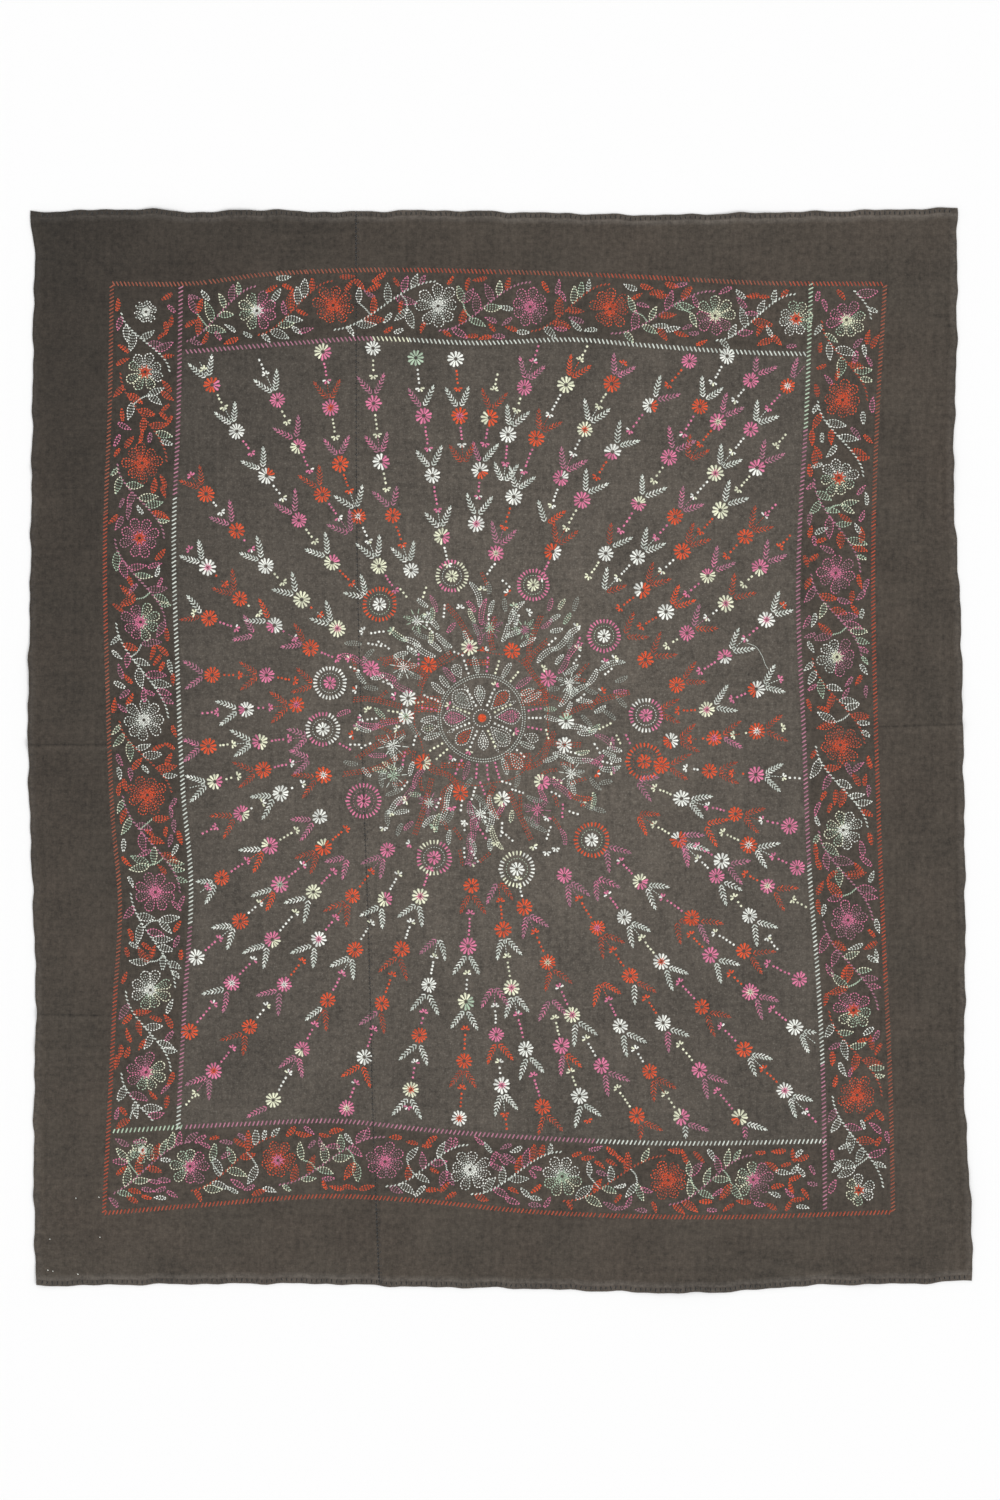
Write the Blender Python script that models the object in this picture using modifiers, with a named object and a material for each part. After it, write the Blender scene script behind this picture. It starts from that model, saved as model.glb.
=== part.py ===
"""An embroidered cotton coverlet lying flat, face up: two loom widths joined by one sewn seam.

Metres, +Z up. +Y is the top of the coverlet, and the origin is under the middle of its box.
Each panel is one sheet of cloth. Its underside lies flat at z = 0, apart from the old fold lines,
creases and lifted spots, where the whole sheet rises by a few millimetres. The hem and the seam
allowance are doubled cloth, so they are thicker strips of the same sheet, and the long lines of
rope stitch that frame the borders stand up from it as low ribs.
"""

import math

import bmesh
import bpy
import numpy as np

MM = 0.001

# Thicknesses and strips
CLOTH_THICKNESS = 1.6 * MM
DOUBLED_THICKNESS = 2.8 * MM
SIDE_HEM_WIDTH = 18 * MM
END_HEM_WIDTH = 12 * MM
SEAM_ALLOWANCE = 9 * MM
STEP_WIDTH = 2.5 * MM
SEAM_GAP = 0.3 * MM
RIB_HEIGHT = 0.8 * MM
RIB_HALF_WIDTH = 7 * MM

# Size of a grid cell in the plain cloth
CELL = 48 * MM

# Lines that run up the cloth, in millimetres, as rows of (height up the cloth, place across it)
LEFT_EDGE = [
    (1076, -938),
    (900, -934),
    (600, -936),
    (300, -940),
    (10, -944),
    (-300, -934),
    (-500, -928),
    (-700, -932),
    (-900, -932),
    (-1072, -928),
]
RIGHT_EDGE = [
    (1084, 914),
    (840, 914),
    (500, 908),
    (300, 920),
    (40, 926),
    (-500, 930),
    (-660, 928),
    (-820, 936),
    (-960, 944),
    (-1060, 944),
]
SEAM = [
    (1076, -288),
    (300, -284),
    (-50, -274),
    (-400, -262),
    (-740, -254),
    (-1072, -241),
]
OUTER_LEFT_RIB = [
    (932, -776),
    (700, -780),
    (400, -790),
    (100, -784),
    (-140, -774),
    (-300, -760),
    (-500, -770),
    (-700, -780),
    (-926, -792),
]
INNER_LEFT_RIB = [
    (932, -638),
    (640, -644),
    (440, -652),
    (140, -644),
    (-80, -634),
    (-260, -618),
    (-500, -630),
    (-680, -640),
    (-760, -644),
]
INNER_RIGHT_RIB = [
    (932, 622),
    (660, 612),
    (460, 600),
    (320, 596),
    (20, 608),
    (-260, 620),
    (-460, 636),
    (-660, 646),
    (-924, 650),
]
OUTER_RIGHT_RIB = [
    (932, 770),
    (660, 754),
    (380, 746),
    (100, 750),
    (-160, 758),
    (-400, 768),
    (-660, 780),
    (-924, 786),
]

# Lines that run across the cloth, in millimetres, as rows of (place across the cloth, height up it)
TOP_EDGE = [
    (-938, 1076),
    (-670, 1080),
    (-595, 1075),
    (-520, 1080),
    (-340, 1076),
    (-160, 1079),
    (100, 1074),
    (300, 1070),
    (500, 1074),
    (760, 1080),
    (914, 1084),
]
OUTER_TOP_RIB = [
    (-776, 932),
    (-600, 934),
    (-480, 950),
    (-340, 958),
    (0, 956),
    (280, 946),
    (520, 934),
    (770, 932),
]
INNER_TOP_RIB = [
    (-630, 796),
    (-380, 816),
    (-300, 822),
    (-40, 814),
    (160, 820),
    (280, 810),
    (520, 794),
    (612, 792),
]
UPPER_FOLD = [(-944, 560), (-300, 552), (300, 540), (944, 536)]
MIDDLE_FOLD = [(-944, 10), (-300, 14), (300, 32), (944, 52)]
LOWER_FOLD = [(-944, -528), (-300, -540), (300, -556), (944, -560)]
INNER_BOTTOM_RIB = [
    (-776, -762),
    (-520, -748),
    (-320, -742),
    (-140, -760),
    (80, -776),
    (320, -786),
    (650, -782),
]
OUTER_BOTTOM_RIB = [
    (-792, -926),
    (-600, -910),
    (-320, -892),
    (-200, -898),
    (80, -924),
    (400, -934),
    (786, -924),
]
BOTTOM_EDGE = [
    (-928, -1072),
    (-600, -1068),
    (-340, -1068),
    (-160, -1074),
    (0, -1076),
    (200, -1082),
    (360, -1086),
    (480, -1082),
    (600, -1072),
    (760, -1068),
    (860, -1066),
    (944, -1060),
]

# How high a fold stands along its length, in millimetres, as rows of (place across the cloth, height)
UPPER_FOLD_HEIGHT = [(-944, 2.0), (-800, 1.6), (-640, 0.4), (500, 0.3), (944, 0.9)]
MIDDLE_FOLD_HEIGHT = [(-944, 4.2), (-790, 3.4), (-640, 1.2), (500, 1.0), (760, 3.0), (944, 4.4)]
LOWER_FOLD_HEIGHT = [(-944, 3.2), (-780, 2.6), (-640, 0.8), (-400, 0.4), (500, 0.6), (944, 1.6)]
FOLD_HALF_WIDTH = 16 * MM

# Soft creases away from the folds, in millimetres: from x, from y, to x, to y, half width, height
CREASES = {
    "top left corner": (-908, 1048, -770, 946, 34, 3.4),
    "top beside the seam": (-450, 1034, -296, 1044, 26, 3.0),
    "top right corner": (820, 1028, 772, 964, 32, 2.4),
    "right border, upper": (800, 840, 806, 590, 40, 2.6),
    "right border, middle": (760, 104, 930, 110, 30, 2.2),
    "bottom left corner": (-908, -892, -812, -700, 36, 3.0),
    "bottom border, left": (10, -956, 84, -954, 28, 2.2),
    "bottom border, right": (460, -1000, 740, -1056, 34, 3.0),
    "left border, low": (-918, -590, -800, -596, 28, 2.0),
}

# Spots where an edge stands off the surface, in millimetres: x, y, half length across and up, height
LIFTED_SPOTS = {
    "top, left of the seam": (-670, 1080, 60, 45, 2.6),
    "top, beside the seam": (-520, 1080, 55, 40, 2.2),
    "top, right": (500, 1076, 110, 40, 1.8),
    "right, upper": (912, 560, 45, 120, 2.2),
    "right, lower": (940, -900, 50, 130, 2.6),
    "bottom, right": (360, -1086, 120, 42, 2.8),
    "bottom left corner": (-930, -1072, 70, 60, 1.8),
    "left, middle": (-944, 150, 40, 110, 1.6),
}

CLOTH_COLOUR = (0.078, 0.069, 0.058, 1.0)
CLOTH_ROUGHNESS = 0.92


def clear_scene():
    """Removes the objects that a new file starts with."""
    for thing in list(bpy.data.objects):
        bpy.data.objects.remove(thing, do_unlink=True)


def smooth_curve(rows):
    """A smooth function through rows of (where, value) in millimetres, that takes and gives metres."""
    where, value = np.array(sorted(rows), float).T * MM
    slope = np.gradient(value, where)

    def curve(at):
        k = int(np.clip(np.searchsorted(where, at) - 1, 0, len(where) - 2))
        span = where[k + 1] - where[k]
        t = min(1.0, max(0.0, (at - where[k]) / span))
        start = (1 + 2 * t) * (1 - t) ** 2 * value[k] + t * (1 - t) ** 2 * span * slope[k]
        end = t * t * (3 - 2 * t) * value[k + 1] + t * t * (t - 1) * span * slope[k + 1]
        return start + end

    return curve


left_edge = smooth_curve(LEFT_EDGE)
right_edge = smooth_curve(RIGHT_EDGE)
seam = smooth_curve(SEAM)
top_edge = smooth_curve(TOP_EDGE)
bottom_edge = smooth_curve(BOTTOM_EDGE)

outer_left_rib = smooth_curve(OUTER_LEFT_RIB)
inner_left_rib = smooth_curve(INNER_LEFT_RIB)
inner_right_rib = smooth_curve(INNER_RIGHT_RIB)
outer_right_rib = smooth_curve(OUTER_RIGHT_RIB)
outer_top_rib = smooth_curve(OUTER_TOP_RIB)
inner_top_rib = smooth_curve(INNER_TOP_RIB)
inner_bottom_rib = smooth_curve(INNER_BOTTOM_RIB)
outer_bottom_rib = smooth_curve(OUTER_BOTTOM_RIB)

# Each rib with the lines that it ends on: first the lower or left one, then the upper or right one
RIBS_UP = [
    (outer_left_rib, outer_bottom_rib, outer_top_rib),
    (inner_left_rib, inner_bottom_rib, outer_top_rib),
    (inner_right_rib, outer_bottom_rib, outer_top_rib),
    (outer_right_rib, outer_bottom_rib, outer_top_rib),
]
RIBS_ACROSS = [
    (outer_bottom_rib, outer_left_rib, outer_right_rib),
    (inner_bottom_rib, outer_left_rib, inner_right_rib),
    (inner_top_rib, inner_left_rib, inner_right_rib),
    (outer_top_rib, outer_left_rib, outer_right_rib),
]
FOLDS = [
    (smooth_curve(LOWER_FOLD), smooth_curve(LOWER_FOLD_HEIGHT)),
    (smooth_curve(MIDDLE_FOLD), smooth_curve(MIDDLE_FOLD_HEIGHT)),
    (smooth_curve(UPPER_FOLD), smooth_curve(UPPER_FOLD_HEIGHT)),
]


def soft_hill(distance):
    """1 at distance 0, falling smoothly to 0 at distance 1 and beyond."""
    if distance >= 1:
        return 0.0
    return (1 - distance * distance) ** 2


def crease_lift(x, y, crease):
    """How far one soft crease lifts the cloth at a point."""
    x0, y0, x1, y1, half_width, height = (size * MM for size in crease)
    run_x, run_y = x1 - x0, y1 - y0
    length = math.hypot(run_x, run_y)
    along = ((x - x0) * run_x + (y - y0) * run_y) / length
    past_end = max(0.0, -along, along - length)
    aside = ((y - y0) * run_x - (x - x0) * run_y) / length
    return height * soft_hill(math.hypot(aside, past_end) / half_width)


def spot_lift(x, y, spot):
    """How far one lifted spot at an edge raises the cloth at a point."""
    spot_x, spot_y, half_x, half_y, height = (size * MM for size in spot)
    return height * soft_hill(math.hypot((x - spot_x) / half_x, (y - spot_y) / half_y))


def lift(x, y):
    """Height of the cloth's underside above the surface that it lies on."""
    heights = [crease_lift(x, y, crease) for crease in CREASES.values()]
    heights += [spot_lift(x, y, spot) for spot in LIFTED_SPOTS.values()]
    for line, fold_height in FOLDS:
        heights.append(fold_height(x) * soft_hill(abs(y - line(x)) / FOLD_HALF_WIDTH))
    return max(heights)


def rib_share(aside, along, start, end):
    """How much of its height a rib has at a point this far aside of its line and along it."""
    if not start - RIB_HALF_WIDTH / 2 <= along <= end + RIB_HALF_WIDTH / 2:
        return 0.0
    return soft_hill(abs(aside) / RIB_HALF_WIDTH)


def thickness(x, y):
    """How thick the cloth is at a point: doubled in the hems and at the seam, ribbed at the rope lines."""
    to_side = min(x - left_edge(y), right_edge(y) - x)
    to_end = min(y - bottom_edge(x), top_edge(x) - y)
    strips = [(to_side, SIDE_HEM_WIDTH), (to_end, END_HEM_WIDTH), (abs(x - seam(y)), SEAM_ALLOWANCE)]
    if any(distance < width + STEP_WIDTH / 2 for distance, width in strips):
        return DOUBLED_THICKNESS
    shares = [rib_share(x - line(y), y, low(x), high(x)) for line, low, high in RIBS_UP]
    shares += [rib_share(y - line(x), x, left(y), right(y)) for line, left, right in RIBS_ACROSS]
    return CLOTH_THICKNESS + RIB_HEIGHT * max(shares)


def shifted(line, distance):
    """The line that lies this far along the axis from another."""
    return lambda at: line(at) + distance


def between(low, high, share):
    """The line at this share of the way from one line to another."""
    return lambda at: low(at) + (high(at) - low(at)) * share


def band(line, half_width):
    """A line and the two beside it that bound what stands up along it."""
    return [shifted(line, -half_width), line, shifted(line, half_width)]


def filled_in(guides):
    """The guide lines with evenly spaced lines between them, a cell or less apart."""
    lines = [guides[0]]
    for low, high in zip(guides, guides[1:]):
        steps = max(1, round((high(0) - low(0)) / CELL))
        lines += [between(low, high, (k + 1) / steps) for k in range(steps)]
    return lines


def row_lines():
    """The cloth's grid lines across it, from the bottom edge to the top one."""
    hem_and_step = END_HEM_WIDTH + STEP_WIDTH
    lower_fold, middle_fold, upper_fold = (line for line, _ in FOLDS)
    guides = [bottom_edge, shifted(bottom_edge, END_HEM_WIDTH), shifted(bottom_edge, hem_and_step)]
    guides += band(outer_bottom_rib, RIB_HALF_WIDTH) + band(inner_bottom_rib, RIB_HALF_WIDTH)
    for fold in (lower_fold, middle_fold, upper_fold):
        guides += band(fold, FOLD_HALF_WIDTH)
    guides += band(inner_top_rib, RIB_HALF_WIDTH) + band(outer_top_rib, RIB_HALF_WIDTH)
    guides += [shifted(top_edge, -hem_and_step), shifted(top_edge, -END_HEM_WIDTH), top_edge]
    return filled_in(guides)


def strip(line, width):
    """The lines of a doubled strip from its edge inwards. A negative width runs to the left."""
    step = math.copysign(STEP_WIDTH, width)
    return [line, shifted(line, width), shifted(line, width + step)]


def left_columns():
    """The left panel's grid lines up it, from its left edge to the seam."""
    guides = strip(left_edge, SIDE_HEM_WIDTH)
    guides += band(outer_left_rib, RIB_HALF_WIDTH) + band(inner_left_rib, RIB_HALF_WIDTH)
    guides += reversed(strip(shifted(seam, -SEAM_GAP / 2), -SEAM_ALLOWANCE))
    return filled_in(guides)


def right_columns():
    """The right panel's grid lines up it, from the seam to its right edge."""
    guides = strip(shifted(seam, SEAM_GAP / 2), SEAM_ALLOWANCE)
    guides += band(inner_right_rib, RIB_HALF_WIDTH) + band(outer_right_rib, RIB_HALF_WIDTH)
    guides += reversed(strip(right_edge, -SIDE_HEM_WIDTH))
    return filled_in(guides)


def crossing(column, row):
    """Where a grid line up the cloth meets one across it."""
    y = row(0)
    for _ in range(5):
        x = column(y)
        y = row(x)
    return x, y


def cloth_material(name):
    material = bpy.data.materials.new(name)
    material.use_nodes = True
    shader = material.node_tree.nodes["Principled BSDF"]
    shader.inputs["Base Color"].default_value = CLOTH_COLOUR
    shader.inputs["Roughness"].default_value = CLOTH_ROUGHNESS
    shader.inputs["Metallic"].default_value = 0.0
    return material


def panel(name, columns, rows):
    """One loom width: a grid laid on its lines and creases, then given its thickness."""
    shape = bmesh.new()
    last_column, last_row = len(columns) - 1, len(rows) - 1
    bmesh.ops.create_grid(shape, x_segments=last_column, y_segments=last_row, size=0.5)
    extra = {}
    for vert in shape.verts:
        i = round((vert.co.x + 0.5) * last_column)
        j = round((vert.co.y + 0.5) * last_row)
        x, y = crossing(columns[i], rows[j])
        vert.co = (x, y, lift(x, y))
        extra[vert.index] = (thickness(x, y) - CLOTH_THICKNESS) / (DOUBLED_THICKNESS - CLOTH_THICKNESS)
    mesh = bpy.data.meshes.new(name)
    shape.to_mesh(mesh)
    shape.free()
    mesh.shade_smooth()
    mesh.materials.append(cloth_material(name))
    cloth = bpy.data.objects.new(name, mesh)
    thicker = cloth.vertex_groups.new(name="thicker")
    for index, share in extra.items():
        thicker.add([index], share, "REPLACE")
    thicken = cloth.modifiers.new("Thickness", "SOLIDIFY")
    thicken.thickness = DOUBLED_THICKNESS
    thicken.offset = 1.0
    thicken.vertex_group = thicker.name
    thicken.thickness_vertex_group = CLOTH_THICKNESS / DOUBLED_THICKNESS
    return cloth


def centre_over_origin(cloths):
    """Moves the points so that the middle of the whole box is over the origin."""
    points = np.array([vert.co for cloth in cloths for vert in cloth.data.vertices])
    middle = (points.min(axis=0) + points.max(axis=0)) / 2
    for cloth in cloths:
        for vert in cloth.data.vertices:
            vert.co.x -= middle[0]
            vert.co.y -= middle[1]


def coverlet():
    collection = bpy.data.collections.new("coverlet")
    bpy.context.scene.collection.children.link(collection)
    rows = row_lines()
    cloths = [panel("left_panel", left_columns(), rows), panel("right_panel", right_columns(), rows)]
    centre_over_origin(cloths)
    for cloth in cloths:
        collection.objects.link(cloth)


clear_scene()
coverlet()
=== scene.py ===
"""Looks of an embroidered cotton coverlet that lies flat, face up, around its packed panels.

Metres, +Z up, +Y the top of the coverlet. A point in the plane of the cloth is a complex number, x + yi.
The cloth is a fine sheet on the solids' outline and folds. Every stitch is a small raised spindle of
thread that lies on it. The stitches are gathered by thread, and joined into one mesh for each thread
and panel.
"""

import cmath
import math
import random

import bpy
import numpy as np
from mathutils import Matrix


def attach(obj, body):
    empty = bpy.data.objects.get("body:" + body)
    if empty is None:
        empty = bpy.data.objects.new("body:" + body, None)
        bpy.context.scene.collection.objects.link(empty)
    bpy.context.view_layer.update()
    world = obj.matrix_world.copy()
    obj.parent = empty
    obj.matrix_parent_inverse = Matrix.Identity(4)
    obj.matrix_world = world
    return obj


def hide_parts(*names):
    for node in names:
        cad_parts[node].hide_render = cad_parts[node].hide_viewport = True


MM = 0.001
DEGREE = math.pi / 180

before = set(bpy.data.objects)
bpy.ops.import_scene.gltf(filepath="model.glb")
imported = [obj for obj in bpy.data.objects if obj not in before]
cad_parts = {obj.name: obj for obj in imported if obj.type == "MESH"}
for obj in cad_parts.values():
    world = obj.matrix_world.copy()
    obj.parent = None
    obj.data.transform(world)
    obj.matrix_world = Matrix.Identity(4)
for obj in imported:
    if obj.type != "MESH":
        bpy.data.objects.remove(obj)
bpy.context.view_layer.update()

# Thicknesses and strips, as in the solids
CLOTH_THICKNESS = 1.6 * MM
DOUBLED_THICKNESS = 2.8 * MM
SIDE_HEM_WIDTH = 18 * MM
END_HEM_WIDTH = 12 * MM
SEAM_ALLOWANCE = 9 * MM
STEP_WIDTH = 2.5 * MM
SEAM_GAP = 0.3 * MM
EDGE_ROUNDING = 2 * MM
EDGE_THICKNESS = 1.0 * MM

# The solids stand with the middle of their box over the origin, which moves the whole cloth a little
CENTRING = (0.1 * MM, 1.0 * MM, 0)

# Size of a grid cell in the visible cloth, and the finer offsets at an edge, a hem and a fold
CELL = 10.5 * MM
EDGE_OFFSETS = (0, 0.5 * MM, 1.2 * MM, 2.4 * MM, 6 * MM)
FOLD_OFFSETS = (-16 * MM, -10 * MM, -5 * MM, -2 * MM, 0, 2 * MM, 5 * MM, 10 * MM, 16 * MM)

# Lines that run up the cloth, in millimetres, as rows of (height up the cloth, place across it)
LEFT_EDGE = [
    (1076, -938),
    (1046, -940),
    (1020, -933),
    (900, -933),
    (600, -936),
    (300, -940),
    (10, -944),
    (-300, -934),
    (-500, -928),
    (-700, -932),
    (-900, -932),
    (-1072, -928),
]
RIGHT_EDGE = [
    (1084, 914),
    (840, 914),
    (500, 908),
    (300, 920),
    (40, 926),
    (-500, 930),
    (-660, 928),
    (-820, 936),
    (-960, 944),
    (-1060, 944),
]
SEAM = [(1076, -288), (300, -284), (-50, -274), (-400, -262), (-740, -254), (-1072, -241)]
OUTER_LEFT = [
    (932, -776),
    (700, -780),
    (400, -790),
    (100, -784),
    (-140, -774),
    (-300, -760),
    (-500, -770),
    (-700, -780),
    (-926, -792),
]
INNER_LEFT = [
    (932, -638),
    (640, -644),
    (440, -652),
    (140, -644),
    (-80, -634),
    (-260, -618),
    (-500, -630),
    (-680, -640),
    (-760, -644),
]
INNER_RIGHT = [
    (932, 622),
    (660, 612),
    (460, 600),
    (320, 596),
    (20, 608),
    (-260, 620),
    (-460, 636),
    (-660, 646),
    (-924, 650),
]
OUTER_RIGHT = [
    (932, 770),
    (660, 754),
    (380, 746),
    (100, 750),
    (-160, 758),
    (-400, 768),
    (-660, 780),
    (-924, 786),
]

# Lines that run across the cloth, in millimetres, as rows of (place across the cloth, height up it)
TOP_EDGE = [
    (-938, 1076),
    (-670, 1080),
    (-595, 1075),
    (-520, 1080),
    (-340, 1076),
    (-160, 1079),
    (100, 1074),
    (300, 1070),
    (500, 1074),
    (760, 1080),
    (914, 1084),
]
OUTER_TOP = [
    (-776, 932),
    (-600, 934),
    (-480, 950),
    (-340, 958),
    (0, 956),
    (280, 946),
    (520, 934),
    (770, 932),
]
INNER_TOP = [
    (-630, 796),
    (-380, 816),
    (-300, 822),
    (-40, 814),
    (160, 820),
    (280, 810),
    (520, 794),
    (612, 792),
]
UPPER_FOLD = [(-944, 560), (-300, 552), (300, 540), (944, 536)]
MIDDLE_FOLD = [(-944, 10), (-300, 14), (300, 32), (944, 52)]
LOWER_FOLD = [(-944, -528), (-300, -540), (300, -556), (944, -560)]
INNER_BOTTOM = [
    (-776, -762),
    (-520, -748),
    (-320, -742),
    (-140, -760),
    (80, -776),
    (320, -786),
    (650, -782),
]
OUTER_BOTTOM = [
    (-792, -926),
    (-600, -910),
    (-320, -892),
    (-200, -898),
    (80, -924),
    (400, -934),
    (786, -924),
]
BOTTOM_EDGE = [
    (-928, -1072),
    (-600, -1068),
    (-340, -1068),
    (-160, -1074),
    (0, -1076),
    (200, -1082),
    (360, -1086),
    (480, -1082),
    (600, -1072),
    (760, -1068),
    (860, -1066),
    (944, -1060),
]

# How high a fold stands along its length, in millimetres, as rows of (place across the cloth, height)
UPPER_FOLD_HEIGHT = [(-944, 2.0), (-800, 1.6), (-640, 0.4), (500, 0.3), (944, 0.9)]
MIDDLE_FOLD_HEIGHT = [(-944, 4.2), (-790, 3.4), (-640, 1.2), (500, 1.0), (760, 3.0), (944, 4.4)]
LOWER_FOLD_HEIGHT = [(-944, 3.2), (-780, 2.6), (-640, 0.8), (-400, 0.4), (500, 0.6), (944, 1.6)]
FOLD_HALF_WIDTH = 16 * MM

# Soft creases away from the folds, in millimetres: from x, from y, to x, to y, half width, height
CREASES = [
    (-908, 1048, -770, 946, 34, 3.4),
    (-450, 1034, -296, 1044, 26, 3.0),
    (-420, 1008, -300, 1012, 14, 2.0),
    (-392, 988, -298, 986, 12, 1.8),
    (820, 1028, 772, 964, 32, 2.4),
    (800, 840, 806, 590, 40, 2.6),
    (760, 104, 930, 110, 30, 2.2),
    (-908, -892, -812, -700, 36, 3.0),
    (10, -956, 84, -954, 28, 2.2),
    (460, -1000, 740, -1056, 34, 3.0),
    (-918, -590, -800, -596, 28, 2.0),
]

# Spots where an edge stands off the surface, in millimetres: x, y, half length across and up, height
LIFTED_SPOTS = [
    (-670, 1080, 60, 45, 2.6),
    (-520, 1080, 55, 40, 2.2),
    (500, 1076, 110, 40, 1.8),
    (912, 560, 45, 120, 2.2),
    (940, -900, 50, 130, 2.6),
    (360, -1086, 120, 42, 2.8),
    (-930, -1072, 70, 60, 1.8),
    (-944, 150, 40, 110, 1.6),
]

# Threads: colour as it looks in daylight, 0 to 255, and the record's material slot
THREADS = {
    "red": ((222, 82, 32), "red_thread"),
    "rust": ((172, 68, 36), "rust_thread"),
    "brown": ((154, 78, 52), "rust_thread"),
    "pink": ((224, 124, 160), "pink_thread"),
    "rose": ((178, 116, 138), "pink_thread"),
    "white": ((244, 246, 238), "white_thread"),
    "grey": ((212, 219, 209), "white_thread"),
    "mist": ((158, 162, 152), "white_thread"),
    "cream": ((238, 240, 210), "cream_thread"),
    "green": ((184, 206, 180), "green_thread"),
    # The dark thread of the seam, also used for painted shade in the dents of the hems
    "dark": ((34, 31, 28), "dark_thread"),
}
FLOWER_THREAD = {"O": "red", "P": "pink", "W": "white", "C": "cream", "G": "green"}

# The middle of the sunburst on the cloth and in the photo, and the size of a pixel on the cloth
MIDDLE = complex(-36, 64) * MM
MIDDLE_IN_PHOTO = (482, 718)
PIXEL = 2 * MM

# The sprays of the sunburst. Each ray has the pixels of the photo, read off it, where its first and its
# last flower stand, as x, y, x, y, and its flowers outwards: the thread of the petals, then that of the
# second petals or the heart.
RAYS = [
    (708, 710, 755, 688, "CP WO"),
    (676, 684, 767, 620, "OO PW WP"),
    (645, 661, 761, 567, "OO PP CP PC"),
    (666, 613, 745, 535, "WW CP OO"),
    (643, 589, 756, 469, "OW OO CC PW"),
    (638, 558, 788, 385, "WW OO CP PP OW"),
    (606, 552, 728, 357, "WW PC PP OO WW"),
    (717, 421, 750, 381, "PC PP"),
    (552, 551, 688, 362, "OW PP WP WO PP"),
    (560, 479, 612, 383, "PW CO OO"),
    (496, 554, 565, 384, "PC WW OO CC"),
    (507, 436, 525, 388, "WW PP"),
    (475, 524, 489, 417, "WP WO OC"),
    (459, 415, 455, 358, "OP WW"),
    (441, 536, 417, 357, "CP WW PP GG"),
    (410, 569, 372, 347, "WW OO WP PP WW"),
    (378, 567, 324, 351, "CC OW OO PO CP"),
    (322, 494, 276, 400, "OO PC PP"),
    (332, 564, 211, 384, "CP PP WO WW OP"),
    (336, 629, 206, 494, "CP CC WW OO OO"),
    (311, 648, 209, 568, "OO WP OO WP"),
    (208, 618, 208, 618, "OO"),
    (267, 675, 211, 676, "PP OO"),
    (297, 705, 247, 709, "OP WP"),
    (261, 741, 208, 747, "CP OO"),
    (264, 770, 214, 782, "OO CP"),
    (322, 774, 241, 813, "OW WW PC"),
    (319, 817, 223, 877, "WW PC OO"),
    (323, 848, 197, 958, "OC PG OO WW"),
    (312, 893, 191, 1031, "CC PC PW OO"),
    (387, 851, 214, 1070, "PP OO WP PW OO PO"),
    (384, 899, 273, 1100, "CP OO OO PC CC"),
    (419, 897, 346, 1109, "CP OO OO WW PC"),
    (429, 984, 411, 1088, "WW OO CO"),
    (472, 887, 460, 1118, "OO PP CG OO WO"),
    (502, 929, 541, 1106, "OO CP WW OO"),
    (495, 1034, 501, 1084, "PP WP"),
    (525, 907, 636, 1116, "OO OC CP PP OO"),
    (562, 1046, 578, 1095, "PP WW"),
    (565, 876, 739, 1116, "PP OP OO WW PP CO"),
    (619, 1026, 682, 1116, "WW OO PC"),
    (624, 916, 785, 1091, "WW WO OO OO WP"),
    (641, 882, 799, 979, "CP OO OO PP"),
    (710, 956, 794, 1026, "PP PC WW"),
    (677, 839, 750, 915, "OW PP WW"),
    (720, 862, 767, 885, "WW PC"),
    (682, 800, 790, 826, "WW OO PP"),
    (748, 846, 797, 867, "OW PP"),
    (662, 766, 755, 774, "OO OO PP"),
    (670, 740, 756, 732, "WO OP OW"),
]

# Wheels around the middle: angle in degrees, distance and radius in millimetres, then the threads of
# the spokes, the second spokes, the inner ring and the flower inside.
WHEELS = [
    (1, 328, 36, "pink", "white", "white", "pink"),
    (34, 294, 35, "pink", "pink", "green", "white"),
    (69, 285, 34, "pink", "pink", "green", "cream"),
    (102, 290, 34, "cream", "pink", "grey", "cream"),
    (132, 306, 36, "red", "red", "green", "white"),
    (167, 312, 35, "white", "white", "grey", "pink"),
    (184, 319, 36, "white", "pink", "grey", "white"),
    (215, 289, 37, "pink", "pink", "rose", "pink"),
    (251, 295, 37, "pink", "cream", "grey", "pink"),
    (283, 310, 38, "white", "cream", "green", "white"),
    (312, 328, 37, "red", "red", "green", "white"),
    (345, 336, 39, "red", "red", "rust", "red"),
]

# Single flowers close to the middle: angle in degrees, distance in millimetres, threads
NEAR_FLOWERS = [
    (100, 144, "CP"),
    (66, 147, "OO"),
    (135, 150, "OO"),
    (31, 154, "PP"),
    (165, 153, "WW"),
    (179, 152, "WG"),
    (358, 168, "WG"),
    (342, 173, "WW"),
    (217, 148, "OC"),
    (313, 175, "PC"),
    (254, 156, "OO"),
    (284, 167, "WC"),
    (156, 243, "PP"),
]

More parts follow.
